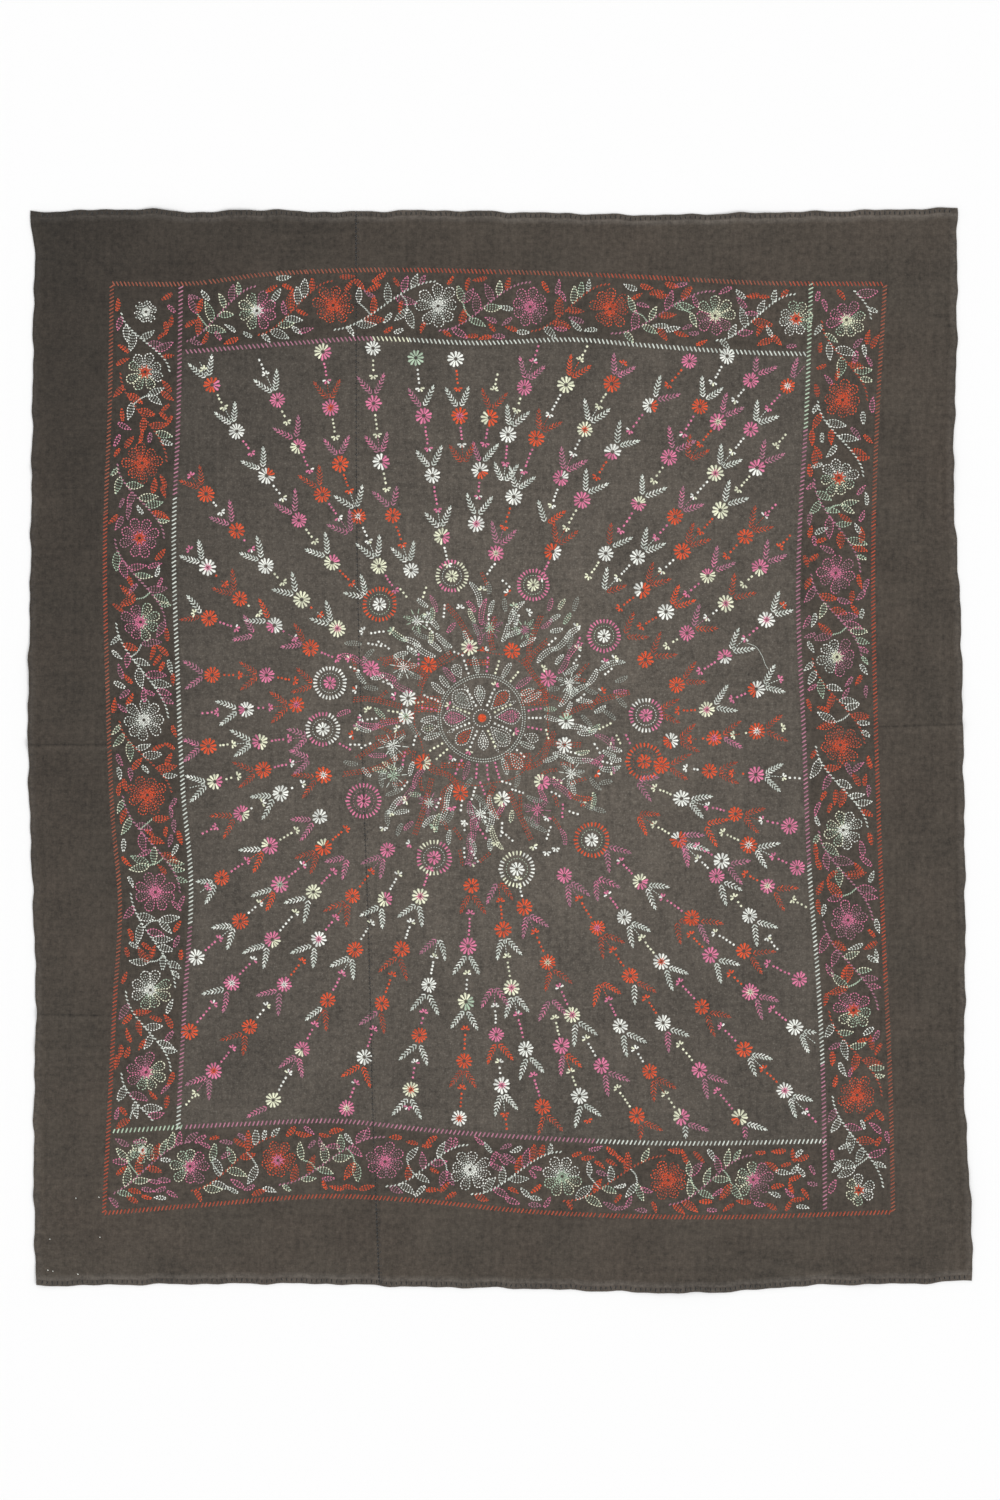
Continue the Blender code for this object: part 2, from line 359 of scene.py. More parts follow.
# Border flowers: place along the band in millimetres, radius, threads of the petals, of the second
# petals and of the heart, and the side that its stem passes, 1 for the inner one.
BORDER_FLOWERS = {
    "left": [
        (876, 22, "grey", "grey", "white", 1),
        (756, 38, "green", "grey", "red", 1),
        (574, 39, "rust", "rust", "red", 1),
        (424, 38, "rose", "rose", "red", 1),
        (256, 38, "rose", "green", "pink", 1),
        (60, 40, "grey", "grey", "white", 1),
        (-90, 39, "rust", "rust", "red", 1),
        (-284, 39, "rose", "rose", "pink", 1),
        (-480, 40, "grey", "green", "white", 1),
        (-644, 38, "green", "rose", "pink", 1),
        (-800, 24, "green", "green", "white", 1),
    ],
    "top": [
        (-486, 38, "rose", "green", "white", -1),
        (-334, 39, "rust", "rust", "red", -1),
        (-124, 42, "grey", "grey", "white", -1),
        (60, 39, "rose", "rose", "pink", -1),
        (220, 39, "rust", "rust", "red", -1),
        (430, 40, "rose", "green", "cream", -1),
        (592, 36, "green", "grey", "red", -1),
    ],
    "right": [
        (860, 38, "green", "rose", "cream", -1),
        (700, 38, "rust", "rust", "red", -1),
        (544, 38, "green", "grey", "red", -1),
        (354, 38, "rose", "rose", "pink", -1),
        (186, 38, "rose", "grey", "cream", -1),
        (10, 40, "rust", "rust", "red", -1),
        (-160, 38, "green", "grey", "white", -1),
        (-340, 38, "rose", "rose", "pink", -1),
        (-520, 38, "rose", "green", "red", -1),
        (-690, 38, "rust", "rust", "red", -1),
        (-880, 30, "grey", "green", "red", -1),
    ],
    "bottom": [
        (-620, 38, "rose", "green", "pink", 1),
        (-444, 37, "rust", "rust", "pink", 1),
        (-230, 38, "rose", "rose", "pink", 1),
        (-60, 40, "grey", "white", "white", 1),
        (124, 40, "green", "grey", "green", 1),
        (336, 39, "rust", "rust", "red", 1),
        (506, 38, "rose", "green", "pink", 1),
    ],
}


def smooth_curve(rows):
    """A smooth function through rows of (where, value) in millimetres, that takes and gives metres."""
    where, value = np.array(sorted(rows), float).T * MM
    slope = np.gradient(value, where)

    def curve(at):
        k = np.clip(np.searchsorted(where, at) - 1, 0, len(where) - 2)
        span = where[k + 1] - where[k]
        t = np.clip((at - where[k]) / span, 0, 1)
        start = (1 + 2 * t) * (1 - t) ** 2 * value[k] + t * (1 - t) ** 2 * span * slope[k]
        end = t * t * (3 - 2 * t) * value[k + 1] + t * t * (t - 1) * span * slope[k + 1]
        return start + end

    return curve


# Small ripples of a sewn edge: wavelength in metres, size in metres
RIPPLES = [(0.131, 1.1 * MM), (0.083, 0.8 * MM), (0.049, 0.6 * MM)]


def rippled(line, phase):
    """The line with the small ripples of a sewn edge."""

    def ripple(at):
        total = 0
        for wavelength, size in RIPPLES:
            total = total + size * np.sin(2 * math.pi * at / wavelength + phase / wavelength)
        return total

    return lambda at: line(at) + ripple(at)


left_edge = rippled(smooth_curve(LEFT_EDGE), 0.3)
right_edge = rippled(smooth_curve(RIGHT_EDGE), 1.7)
seam = smooth_curve(SEAM)
top_edge = rippled(smooth_curve(TOP_EDGE), 2.9)
bottom_edge = rippled(smooth_curve(BOTTOM_EDGE), 4.4)
outer_left, inner_left = smooth_curve(OUTER_LEFT), smooth_curve(INNER_LEFT)
outer_right, inner_right = smooth_curve(OUTER_RIGHT), smooth_curve(INNER_RIGHT)
outer_top, inner_top = smooth_curve(OUTER_TOP), smooth_curve(INNER_TOP)
outer_bottom, inner_bottom = smooth_curve(OUTER_BOTTOM), smooth_curve(INNER_BOTTOM)
FOLDS = [
    (smooth_curve(LOWER_FOLD), smooth_curve(LOWER_FOLD_HEIGHT)),
    (smooth_curve(MIDDLE_FOLD), smooth_curve(MIDDLE_FOLD_HEIGHT)),
    (smooth_curve(UPPER_FOLD), smooth_curve(UPPER_FOLD_HEIGHT)),
]


# Height of the cloth


def soft_hill(distance):
    """1 at distance 0, falling smoothly to 0 at distance 1 and beyond."""
    return (1 - np.clip(distance, 0, 1) ** 2) ** 2


def smooth_step(low, high, value):
    t = np.clip((value - low) / (high - low), 0, 1)
    return t * t * (3 - 2 * t)


def crease_lift(x, y, crease):
    """How far one soft crease lifts the cloth."""
    x0, y0, x1, y1, half_width, height = (size * MM for size in crease)
    run_x, run_y = x1 - x0, y1 - y0
    length = math.hypot(run_x, run_y)
    along = ((x - x0) * run_x + (y - y0) * run_y) / length
    past_end = np.maximum(0, np.maximum(-along, along - length))
    aside = ((y - y0) * run_x - (x - x0) * run_y) / length
    return height * soft_hill(np.hypot(aside, past_end) / half_width)


def spot_lift(x, y, spot):
    """How far one lifted spot at an edge raises the cloth."""
    spot_x, spot_y, half_x, half_y, height = (size * MM for size in spot)
    return height * soft_hill(np.hypot((x - spot_x) / half_x, (y - spot_y) / half_y))


def lift(x, y):
    """Height of the cloth's underside above the surface that it lies on."""
    height = np.zeros_like(x)
    for crease in CREASES:
        height = np.maximum(height, crease_lift(x, y, crease))
    for spot in LIFTED_SPOTS:
        height = np.maximum(height, spot_lift(x, y, spot))
    for line, fold_height in FOLDS:
        height = np.maximum(height, fold_height(x) * soft_hill(abs(y - line(x)) / FOLD_HALF_WIDTH))
    return height


# Slow unevenness of the cloth: wavelength in metres, direction in degrees, phase, height in metres
WAVES = [
    (0.31, 12, 0.4, 0.22 * MM),
    (0.23, 101, 2.1, 0.20 * MM),
    (0.17, 64, 4.0, 0.16 * MM),
    (0.12, 148, 1.2, 0.14 * MM),
    (0.09, 95, 5.1, 0.10 * MM),
    (0.07, 8, 3.3, 0.08 * MM),
]


def unevenness(x, y):
    """Slow waves in the top of the cloth, never below its thickness."""
    height = np.zeros_like(x)
    for wavelength, direction, phase, size in WAVES:
        across = x * math.cos(direction * DEGREE) + y * math.sin(direction * DEGREE)
        height += size * (1 + np.sin(2 * math.pi * across / wavelength + phase))
    return height


def edge_distances(x, y):
    """Distance from the nearer side edge, from the nearer end edge and from the seam."""
    to_side = np.minimum(x - left_edge(y), right_edge(y) - x)
    to_end = np.minimum(y - bottom_edge(x), top_edge(x) - y)
    return to_side, to_end, abs(x - seam(y))


def thickness(x, y):
    """How thick the cloth is: doubled in the hems and at the seam, thin and rounded at its edges."""
    to_side, to_end, to_seam = edge_distances(x, y)
    doubled = 1 - smooth_step(SIDE_HEM_WIDTH - STEP_WIDTH / 2, SIDE_HEM_WIDTH + STEP_WIDTH / 2, to_side)
    doubled = np.maximum(
        doubled, 1 - smooth_step(END_HEM_WIDTH - STEP_WIDTH / 2, END_HEM_WIDTH + STEP_WIDTH / 2, to_end)
    )
    doubled = np.maximum(
        doubled, 1 - smooth_step(SEAM_ALLOWANCE - STEP_WIDTH / 2, SEAM_ALLOWANCE + STEP_WIDTH / 2, to_seam)
    )
    full = CLOTH_THICKNESS + (DOUBLED_THICKNESS - CLOTH_THICKNESS) * doubled
    nearest = np.minimum(np.minimum(to_side, to_end), to_seam)
    roll = np.sqrt(1 - (1 - np.clip(nearest / EDGE_ROUNDING, 0, 1)) ** 2)
    return EDGE_THICKNESS + (full - EDGE_THICKNESS) * roll


def cloth_top(x, y):
    """Height of the face of the cloth."""
    to_side, to_end, _ = edge_distances(x, y)
    inside = smooth_step(0, 40 * MM, np.minimum(to_side, to_end))
    return lift(x, y) + thickness(x, y) + unevenness(x, y) * inside


# The cloth


def shifted(line, distance):
    return lambda at: line(at) + distance


def between(low, high, share):
    return lambda at: low(at) + (high(at) - low(at)) * share


def filled_in(guides):
    """The guide lines with evenly spaced lines between them, about a cell apart."""
    lines = [guides[0]]
    for low, high in zip(guides, guides[1:]):
        steps = max(1, round((high(0.0) - low(0.0)) / CELL))
        lines += [between(low, high, (k + 1) / steps) for k in range(steps)]
    return lines


def strip(line, width, direction):
    """The close lines beside an edge, and those at the inner side of its hem or allowance."""
    offsets = [*EDGE_OFFSETS, width - STEP_WIDTH / 2, width, width + STEP_WIDTH / 2]
    return [shifted(line, direction * offset) for offset in sorted(offsets)][::direction]


def row_lines():
    guides = strip(bottom_edge, END_HEM_WIDTH, 1)
    for line, _ in FOLDS:
        guides += [shifted(line, offset) for offset in FOLD_OFFSETS]
    return filled_in(guides + strip(top_edge, END_HEM_WIDTH, -1))


def column_lines(left, left_width, right, right_width):
    return filled_in(strip(left, left_width, 1) + strip(right, right_width, -1))


def crossings(columns, rows):
    """Where the lines up the cloth meet the lines across it, as arrays of x and y."""
    y = np.array([[float(row(0.0)) for row in rows] for _ in columns])
    x = np.zeros_like(y)
    for _ in range(5):
        for i, column in enumerate(columns):
            x[i] = column(y[i])
        for j, row in enumerate(rows):
            y[:, j] = row(x[:, j])
    return x, y


def point_attribute(mesh, name, values):
    """Stores a number for each point, which the materials read."""
    layer = mesh.attributes.new(name, "FLOAT", "POINT")
    layer.data.foreach_set("value", np.asarray(values, np.float32).ravel())


def new_piece(name, points, faces, material):
    mesh = bpy.data.meshes.new(name)
    mesh.from_pydata((points + np.array(CENTRING)).tolist(), [], faces.tolist())
    mesh.materials.append(material)
    piece = bpy.data.objects.new(name, mesh)
    bpy.context.scene.collection.objects.link(piece)
    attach(piece, "root")
    return piece


def cloth_panel(name, columns, rows, material):
    """One panel as a closed thin sheet: its face, its underside and the rim between them."""
    x, y = crossings(columns, rows)
    count_i, count_j = x.shape
    face = np.stack([x, y, cloth_top(x, y)], axis=-1).reshape(-1, 3)
    under = np.stack([x, y, lift(x, y)], axis=-1).reshape(-1, 3)
    index = np.arange(count_i * count_j).reshape(count_i, count_j)
    corners = [index[:-1, :-1], index[1:, :-1], index[1:, 1:], index[:-1, 1:]]
    up = np.stack([corner.ravel() for corner in corners], axis=1)
    down = up[:, ::-1] + len(face)
    rim = np.concatenate([index[:, 0], index[-1, 1:], index[-2::-1, -1], index[0, -2::-1]])
    sides = np.stack([rim[:-1], rim[:-1] + len(face), rim[1:] + len(face), rim[1:]], axis=1)
    points = np.concatenate([face, under])
    faces = np.concatenate([up, down, sides])
    piece = new_piece(name, points, faces, material)
    piece.data.shade_smooth()
    flat_x, flat_y = points[:, 0], points[:, 1]
    # Paleness from the washing together with painted light and shade across the cloth
    point_attribute(piece.data, "faded_and_lit", fading_and_light_falloff(flat_x, flat_y))
    point_attribute(piece.data, "field", field_share(flat_x, flat_y))
    # Wear, with a painted highlight on the raised hem edges and rims
    point_attribute(piece.data, "rubbed_and_highlit", wear_and_painted_highlight(flat_x, flat_y))
    # Painted shade along the folds, creases and seam, and painted light below the folds and creases
    point_attribute(piece.data, "painted_crease_shade", crease_shade(flat_x, flat_y))
    return piece


# Painted light and shade, together with the paleness from the washing
# How light the cloth is at its corners and the middles of its sides, as rows from bottom to top
FADING_AND_LIGHT = [(1.08, 1.07, 1.03), (0.82, 0.99, 1.02), (0.50, 0.98, 1.02)]


def fading_and_light_falloff(x, y):
    """How light the cloth is compared with its middle: paler from the washing, and painted light and shade,
    darkest at the top left corner.
    """
    across = np.clip(x / 0.94, -1, 1)
    up = np.clip(y / 1.08, -1, 1)
    total = np.zeros_like(x)
    for row, at_up in zip(FADING_AND_LIGHT, (-1, 0, 1)):
        for value, at_across in zip(row, (-1, 0, 1)):
            total += value * quadratic(across, at_across) * quadratic(up, at_up)
    from_middle = np.hypot(x - MIDDLE.real, y - MIDDLE.imag)
    return total * (1 + 0.36 * field_share(x, y) * (1 - smooth_step(0, 1.0, from_middle) - 0.4))


def quadratic(place, at):
    """The share of the knot at -1, 0 or 1 in a smooth curve through all three."""
    if at == 0:
        return 1 - place * place
    return place * (place + at) / 2


def field_share(x, y):
    """1 in the field inside the borders, 0 outside it."""
    soft = 12 * MM
    share = 1.0
    for depth in (x - inner_left(y), inner_right(y) - x, y - inner_bottom(x), inner_top(x) - y):
        share = share * smooth_step(-soft, soft, depth)
    return share


def wear_and_painted_highlight(x, y):
    """How much lighter the cloth is at the hems' inner edges and at the rims: partly worn, partly a painted
    highlight on these raised edges.
    """
    to_side, to_end, _ = edge_distances(x, y)
    side = 0.35 * soft_hill(abs(to_side - 6 * MM) / (3.5 * MM))
    end = 0.9 * soft_hill(abs(to_end - END_HEM_WIDTH - 1 * MM) / (3.5 * MM))
    end = np.maximum(end, 0.3 * (1 - smooth_step(END_HEM_WIDTH, END_HEM_WIDTH + 3 * MM, to_end)))
    rim = 0.5 * soft_hill(np.minimum(to_side, to_end) / (3 * MM))
    return np.maximum(np.maximum(side, end), rim)


def crease_shade(x, y):
    """Painted shade darker along each fold, each crease and the seam, and painted light a little lighter
    below each fold and crease.
    """
    shade = np.zeros_like(x)
    for line, fold_height in FOLDS:
        up = y - line(x)
        strength = np.clip(fold_height(x) / (3.6 * MM), 0.15, 1.0)
        shade += strength * (soft_hill(abs(up) / (3.4 * MM)) - 0.3 * soft_hill(abs(up + 8 * MM) / (9 * MM)))
    for x0, y0, x1, y1, half_width, height in CREASES:
        narrow = crease_lift(x, y, (x0, y0, x1, y1, 7, 1)) / MM
        beside = crease_lift(x, y, (x0 - 6, y0 - 10, x1 - 6, y1 - 10, 14, 1)) / MM
        shade += height / 3.4 * (0.6 * narrow - 0.25 * beside)
    in_border = smooth_step(0.86, 0.98, abs(y))
    # Painted shade in the dip along the seam, stronger in the borders
    return shade + (0.25 + 0.35 * in_border) * soft_hill(abs(x - seam(y)) / (3.2 * MM))


# Materials


def linear(colour):
    """The colour that the eye sees, 0 to 255, as the shader's linear values."""
    parts = [part / 255 for part in colour]
    return [part / 12.92 if part <= 0.04045 else ((part + 0.055) / 1.055) ** 2.4 for part in parts]


class Nodes:
    """Short calls that add nodes to one material."""

    def __init__(self, name):
        self.material = bpy.data.materials.new(name)
        self.material.use_nodes = True
        self.tree = self.material.node_tree
        self.shader = self.tree.nodes["Principled BSDF"]

    def add(self, kind, settings=None, **inputs):
        node = self.tree.nodes.new(kind)
        for key, value in (settings or {}).items():
            setattr(node, key, value)
        for key, value in inputs.items():
            self.put(node.inputs[key.replace("_", " ")], value)
        return node

    def put(self, socket, value):
        if isinstance(value, bpy.types.NodeSocket):
            self.tree.links.new(value, socket)
        else:
            socket.default_value = value

    def math(self, operation, first, second=0.0, third=0.0):
        node = self.tree.nodes.new("ShaderNodeMath")
        node.operation = operation
        for socket, value in zip(node.inputs, (first, second, third)):
            self.put(socket, value)
        return node.outputs[0]

    def mix(self, factor, first, second, blend="MIX"):
        node = self.tree.nodes.new("ShaderNodeMix")
        node.data_type = "RGBA"
        node.blend_type = blend
        self.put(node.inputs["Factor"], factor)
        self.put(node.inputs[6], first)
        self.put(node.inputs[7], second)
        return node.outputs[2]

    def stretched(self, scale_x, scale_y):
        """The piece's own coordinates, stretched."""
        place = self.add("ShaderNodeTexCoord").outputs["Object"]
        return self.add("ShaderNodeMapping", Vector=place, Scale=(scale_x, scale_y, 1)).outputs[0]

    def noise(self, scale_x, scale_y, detail=2.0, roughness=0.5):
        """Smooth noise with its own scale in each direction, around 0.5."""
        node = self.add(
            "ShaderNodeTexNoise",
            Vector=self.stretched(scale_x, scale_y),
            Scale=1.0,
            Detail=detail,
            Roughness=roughness,
        )
        return node.outputs[0]

    def point_value(self, name):
        return self.add("ShaderNodeAttribute", {"attribute_name": name}).outputs["Fac"]


def rgba(colour):
    return (*linear(colour), 1.0)


def cloth_material():
    """Washed plain-weave cotton: soft slubs both ways, mottled fading, and a greyer field."""
    n = Nodes("cloth")
    mottled = n.noise(9, 9, 5.0, 0.62)
    blotches = n.noise(95, 95, 3.0, 0.6)
    streaks_across = n.noise(7, 90, 3.0, 0.65)
    streaks_up = n.noise(90, 7, 3.0, 0.65)
    slub_across = n.noise(90, 620, 2.0)
    slub_up = n.noise(620, 90, 2.0)
    speckle = n.noise(260, 260, 3.0, 0.75)
    light = n.math("MULTIPLY_ADD", mottled, 0.9, 0.55)
    for pattern, strength in (
        (blotches, 1.3),
        (streaks_across, 0.4),
        (streaks_up, 0.6),
        (slub_across, 0.5),
        (slub_up, 0.5),
        (speckle, 0.9),
    ):
        light = n.math("MULTIPLY_ADD", n.math("SUBTRACT", pattern, 0.5), strength, light)
    # Painted shade along the folds, creases and seam, and painted light below the folds and creases
    light = n.math("MULTIPLY_ADD", n.point_value("painted_crease_shade"), -0.42, light)
    # Painted light and shade across the cloth, with its paleness from the washing: darkest at the top left
    light = n.math("MULTIPLY", light, n.point_value("faded_and_lit"))
    flecks = n.add("ShaderNodeMapRange", Value=speckle, From_Min=0.55, From_Max=0.72).outputs[0]
    field = n.point_value("field")
    border_colour = n.mix(n.noise(6, 6, 4.0), rgba((73, 64, 56)), rgba((65, 60, 53)))
    field_colour = n.mix(n.noise(4, 4), rgba((81, 75, 68)), rgba((86, 79, 71)))
    colour = n.mix(field, border_colour, field_colour)
    share = n.math("MULTIPLY", flecks, n.math("MULTIPLY_ADD", field, 0.26, 0.04))
    colour = n.mix(share, colour, rgba((140, 138, 130)))
    # Lighter at the hems' inner edges and the rims: wear, with a painted highlight on these raised edges
    colour = n.mix(n.math("MULTIPLY", n.point_value("rubbed_and_highlit"), 0.3), colour, rgba((126, 120, 114)))
    shade = n.add("ShaderNodeCombineColor", Red=light, Green=light, Blue=light).outputs[0]
    n.put(n.shader.inputs["Base Color"], n.mix(1.0, colour, shade, "MULTIPLY"))
    weave = n.math("ADD", slub_across, slub_up)
    weave = n.math("ADD", weave, n.math("MULTIPLY", n.math("ADD", streaks_across, streaks_up), 1.5))
    bump = n.add("ShaderNodeBump", Strength=0.5, Distance=0.0006, Height=weave)
    n.put(n.shader.inputs["Normal"], bump.outputs[0])
    n.shader.inputs["Roughness"].default_value = 0.9
    n.shader.inputs["Sheen Weight"].default_value = 0.15
    n.shader.inputs["Sheen Roughness"].default_value = 0.6
    n.shader.inputs["Specular IOR Level"].default_value = 0.2
    return n.material


def thread_material(name, colour):
    """Stranded cotton: each stitch has its own tone, and fine strands show along it."""
    n = Nodes(name)
    tone = n.point_value("tone")
    strands = n.noise(1500, 1500, 1.0)
    worn = n.noise(28, 28, 2.0)
    light = n.math("MULTIPLY_ADD", tone, 0.42, 0.66)
    light = n.math("MULTIPLY_ADD", strands, 0.24, light)
    light = n.math("MULTIPLY_ADD", n.math("SUBTRACT", worn, 0.5), 0.35, light)
    shade = n.add("ShaderNodeCombineColor", Red=light, Green=light, Blue=light).outputs[0]
    n.put(n.shader.inputs["Base Color"], n.mix(1.0, rgba(colour), shade, "MULTIPLY"))
    bump = n.add("ShaderNodeBump", Strength=0.35, Distance=0.0003, Height=strands)
    n.put(n.shader.inputs["Normal"], bump.outputs[0])
    n.shader.inputs["Roughness"].default_value = 0.62
    n.shader.inputs["Sheen Weight"].default_value = 0.2
    n.shader.inputs["Specular IOR Level"].default_value = 0.35
    return n.material


# Stitches. Each is a row: x and y of both ends, width near the first end and near the second, height,
# tone. A short one has one widest place, and a long one has two.

SINK = 0.3 * MM
STITCH_HEIGHT = 0.9 * MM
PETAL_HEIGHT = 1.1 * MM
chance = random.Random(41)
short_stitches = {thread: [] for thread in THREADS}
long_stitches = {thread: [] for thread in THREADS}


def dash(thread, start, end, width):
    """A short stitch."""
    row = (start.real, start.imag, end.real, end.imag, width, width, STITCH_HEIGHT, chance.random())
    short_stitches[thread].append(row)


def bar(thread, start, end, width, end_width=None, height=STITCH_HEIGHT):
    """A long stitch, which may be wider at one end."""
    end_width = end_width or width
    row = (start.real, start.imag, end.real, end.imag, width, end_width, height, chance.random())
    long_stitches[thread].append(row)


def wobble(size):
    """A small step in any direction, as a hand makes."""
    return complex(chance.uniform(-size, size), chance.uniform(-size, size))


def rounded(points, steps=6):
    """A smooth path through given points."""
    p = [2 * points[0] - points[1], *points, 2 * points[-1] - points[-2]]
    path = []
    for a, b, c, d in zip(p, p[1:], p[2:], p[3:]):
        for k in range(steps):
            t = k / steps
            square = 2 * a - 5 * b + 4 * c - d
            cube = 3 * b - 3 * c + d - a
            path.append(0.5 * (2 * b + (c - a) * t + square * t**2 + cube * t**3))
    return [*path, points[-1]]


def walk(path, pitch):
    """Places along a path, pitch apart: (place, direction as a unit number)."""
    spots = []
    ahead = pitch / 2
    for start, end in zip(path, path[1:]):
        length = abs(end - start)
        if length == 0:
            continue
        direction = (end - start) / length
        while ahead <= length:
            spots.append((start + direction * ahead, direction))
            ahead += pitch
        ahead -= length
    return spots


def running(thread, path, length=5 * MM, gap=2 * MM, width=1.8 * MM):
    """Running stitch along a path."""
    for place, direction in walk(path, length + gap):
        half = direction * length / 2
        bar(thread, place - half, place + half + wobble(0.3 * MM), width)


def rope(thread, path, pitch, length, slant, width):
    """Slanted stitches side by side along a path. The slant is from the path, in degrees."""
    turn = cmath.rect(1, slant * DEGREE)
    for place, direction in walk(path, pitch):
        half = direction * turn * length / 2 * chance.uniform(0.9, 1.08)
        bar(thread, place - half, place + half, width)


def stem(thread, points):
    """The stem of a border spray: short slanted stitches that overlap."""
    rope(thread, rounded(points), 8.0 * MM, 7.4 * MM, 36, 3.1 * MM)


# The brighter strands that turn up now and then in a thread
GLINTS = {"grey": "white", "rose": "pink", "rust": "red", "green": "cream", "brown": "rust"}


def glint(thread, share=0.25):
    """The thread itself, or now and then a brighter strand of it."""
    return GLINTS.get(thread, thread) if chance.random() < share else thread


# Motifs of the field


def daisy(middle, radius, petal_thread, second_thread, petals=11):
    """A flower of straight wedge petals. A second thread works its heart or some of its petals."""
    first = chance.uniform(0, 2 * math.pi)
    two_tone = petal_thread != second_thread
    hearted = chance.random() < 0.5
    second_count = chance.randint(3, 5) if two_tone and not hearted else 0
    for k in range(petals):
        out = cmath.rect(1, first + (k + chance.uniform(-0.12, 0.12)) * 2 * math.pi / petals)
        thread = second_thread if k < second_count else petal_thread
        reach = radius * chance.uniform(0.92, 1.06)
        width = 2 * math.pi * radius / petals * 0.56
        bar(thread, middle + out * radius * 0.12, middle + out * reach, width * 0.5, width, PETAL_HEIGHT)
    if two_tone and hearted:
        for k in range(8):
            out = cmath.rect(1, first + k * 2 * math.pi / 8)
            near, far = middle + out * radius * 0.04, middle + out * radius * 0.5
            bar(second_thread, near, far, 2.2 * MM, 2.6 * MM, 1.5 * MM)


def feather(thread, base, angle, length, width, bend=0.0):
    """A leaf of the field: slanted stitches on both sides of a mid line, ending in a point."""
    pairs = max(3, round(length / (6.6 * MM)))
    fine = 0.8 if thread == "rust" else 1
    for k in range(pairs):
        t = (k + 0.4) / pairs
        out = cmath.rect(1, angle + bend * t)
        place = base + cmath.rect(length * t, angle + bend * t / 2)
        fullness = math.sin(math.pi * min(1, 0.3 + 0.66 * t)) ** 0.6
        half_width = width / 2 * fullness * chance.uniform(0.88, 1.12)
        for side in (1, -1):
            tip = place + out * 5.4 * MM + out * 1j * side * half_width
            root = place - out * 2.4 * MM - out * 1j * side * 0.4 * MM
            strand = glint(thread)
            start, stop = root + wobble(0.4 * MM), tip + wobble(0.5 * MM)
            bar(strand, start, stop, 2.7 * MM * fine, 2.5 * MM * fine)
    end = base + cmath.rect(length, angle + bend / 2)
    bar(thread, end - cmath.rect(3 * MM, angle + bend), end + cmath.rect(5.5 * MM, angle + bend), 2.5 * MM)


def bud(place, angle, first_thread, second_thread):
    """A small fan of petals that opens along the angle."""
    for turn in (-82, -30, 26, 80):
        thread = first_thread if chance.random() < 0.6 else second_thread
        out = cmath.rect(1, angle + turn * DEGREE)
        tip = place + out * chance.uniform(8.5, 10.5) * MM
        bar(thread, place + out * 1.0 * MM, tip, 3.0 * MM, 4.6 * MM, PETAL_HEIGHT)


def dots(thread, start, end):
    """A row of round stitches between two places."""
    count = max(1, round(abs(end - start) / (8.4 * MM)))
    out = (end - start) / abs(end - start)
    for k in range(count):
        place = start + (end - start) * (k + 0.5) / count + wobble(0.6 * MM)
        half = out * chance.uniform(2.5, 3.2) * MM
        bar(thread, place - half, place + half, 4.8 * MM, None, PETAL_HEIGHT)


FLOWER_RADIUS = 18 * MM
LEAF_THREADS = ["grey", "grey", "grey", "rose", "rose", "rust", "red"]
BUD_PAIRS = [("red", "red"), ("pink", "pink"), ("cream", "cream"), ("white", "cream"), ("pink", "white")]

# How far a flower's leaves, its bud and its dots start from its middle, and where the dots to the next
# flower end before it
LEAVES_AT = 19 * MM
BUD_AT = 56 * MM
DOTS_FROM = 62 * MM
DOTS_END = 20 * MM


def leaf_pair(place, angle, petal_thread):
    """Two leaves that open outwards from a flower, with a slim one between them."""
    favourite = {"red": "rust", "pink": "rose"}.get(petal_thread, "grey")
    thread = favourite if chance.random() < 0.4 else chance.choice(LEAF_THREADS)
    other = thread if chance.random() < 0.75 else chance.choice(LEAF_THREADS)
    for side, one in ((1, thread), (-1, other)):
        spread = chance.uniform(32, 42) * DEGREE
        length = chance.uniform(36, 43) * MM
        base = place + cmath.rect(3 * MM, angle + side * math.pi / 2)
        length = min(length, room_to_frame(base, angle + side * spread) - 14 * MM)
        if length > 18 * MM:
            feather(one, base, angle + side * spread, length, 13 * MM, -side * chance.uniform(0, 0.35))
    if chance.random() < 0.5 and room_to_frame(place, angle) > 42 * MM:
        running(thread, [place, place + cmath.rect(32 * MM, angle)], 4.5 * MM, 1.2 * MM, 2.0 * MM)


def room_to_frame(place, angle):
    """How far it is from a place to the inner frame line, going outwards."""
    out = cmath.rect(1, angle)
    distance = 0.0
    while distance < 0.3:
        spot = place + out * distance
        x, y = spot.real, spot.imag
        if not (inner_left(y) < x < inner_right(y) and inner_bottom(x) < y < inner_top(x)):
            return distance
        distance += 4 * MM
    return distance


def from_middle(x, y):
    """The way from the middle of the sunburst to a pixel of the photo, on the cloth."""
    return complex(x - MIDDLE_IN_PHOTO[0], MIDDLE_IN_PHOTO[1] - y) * PIXEL


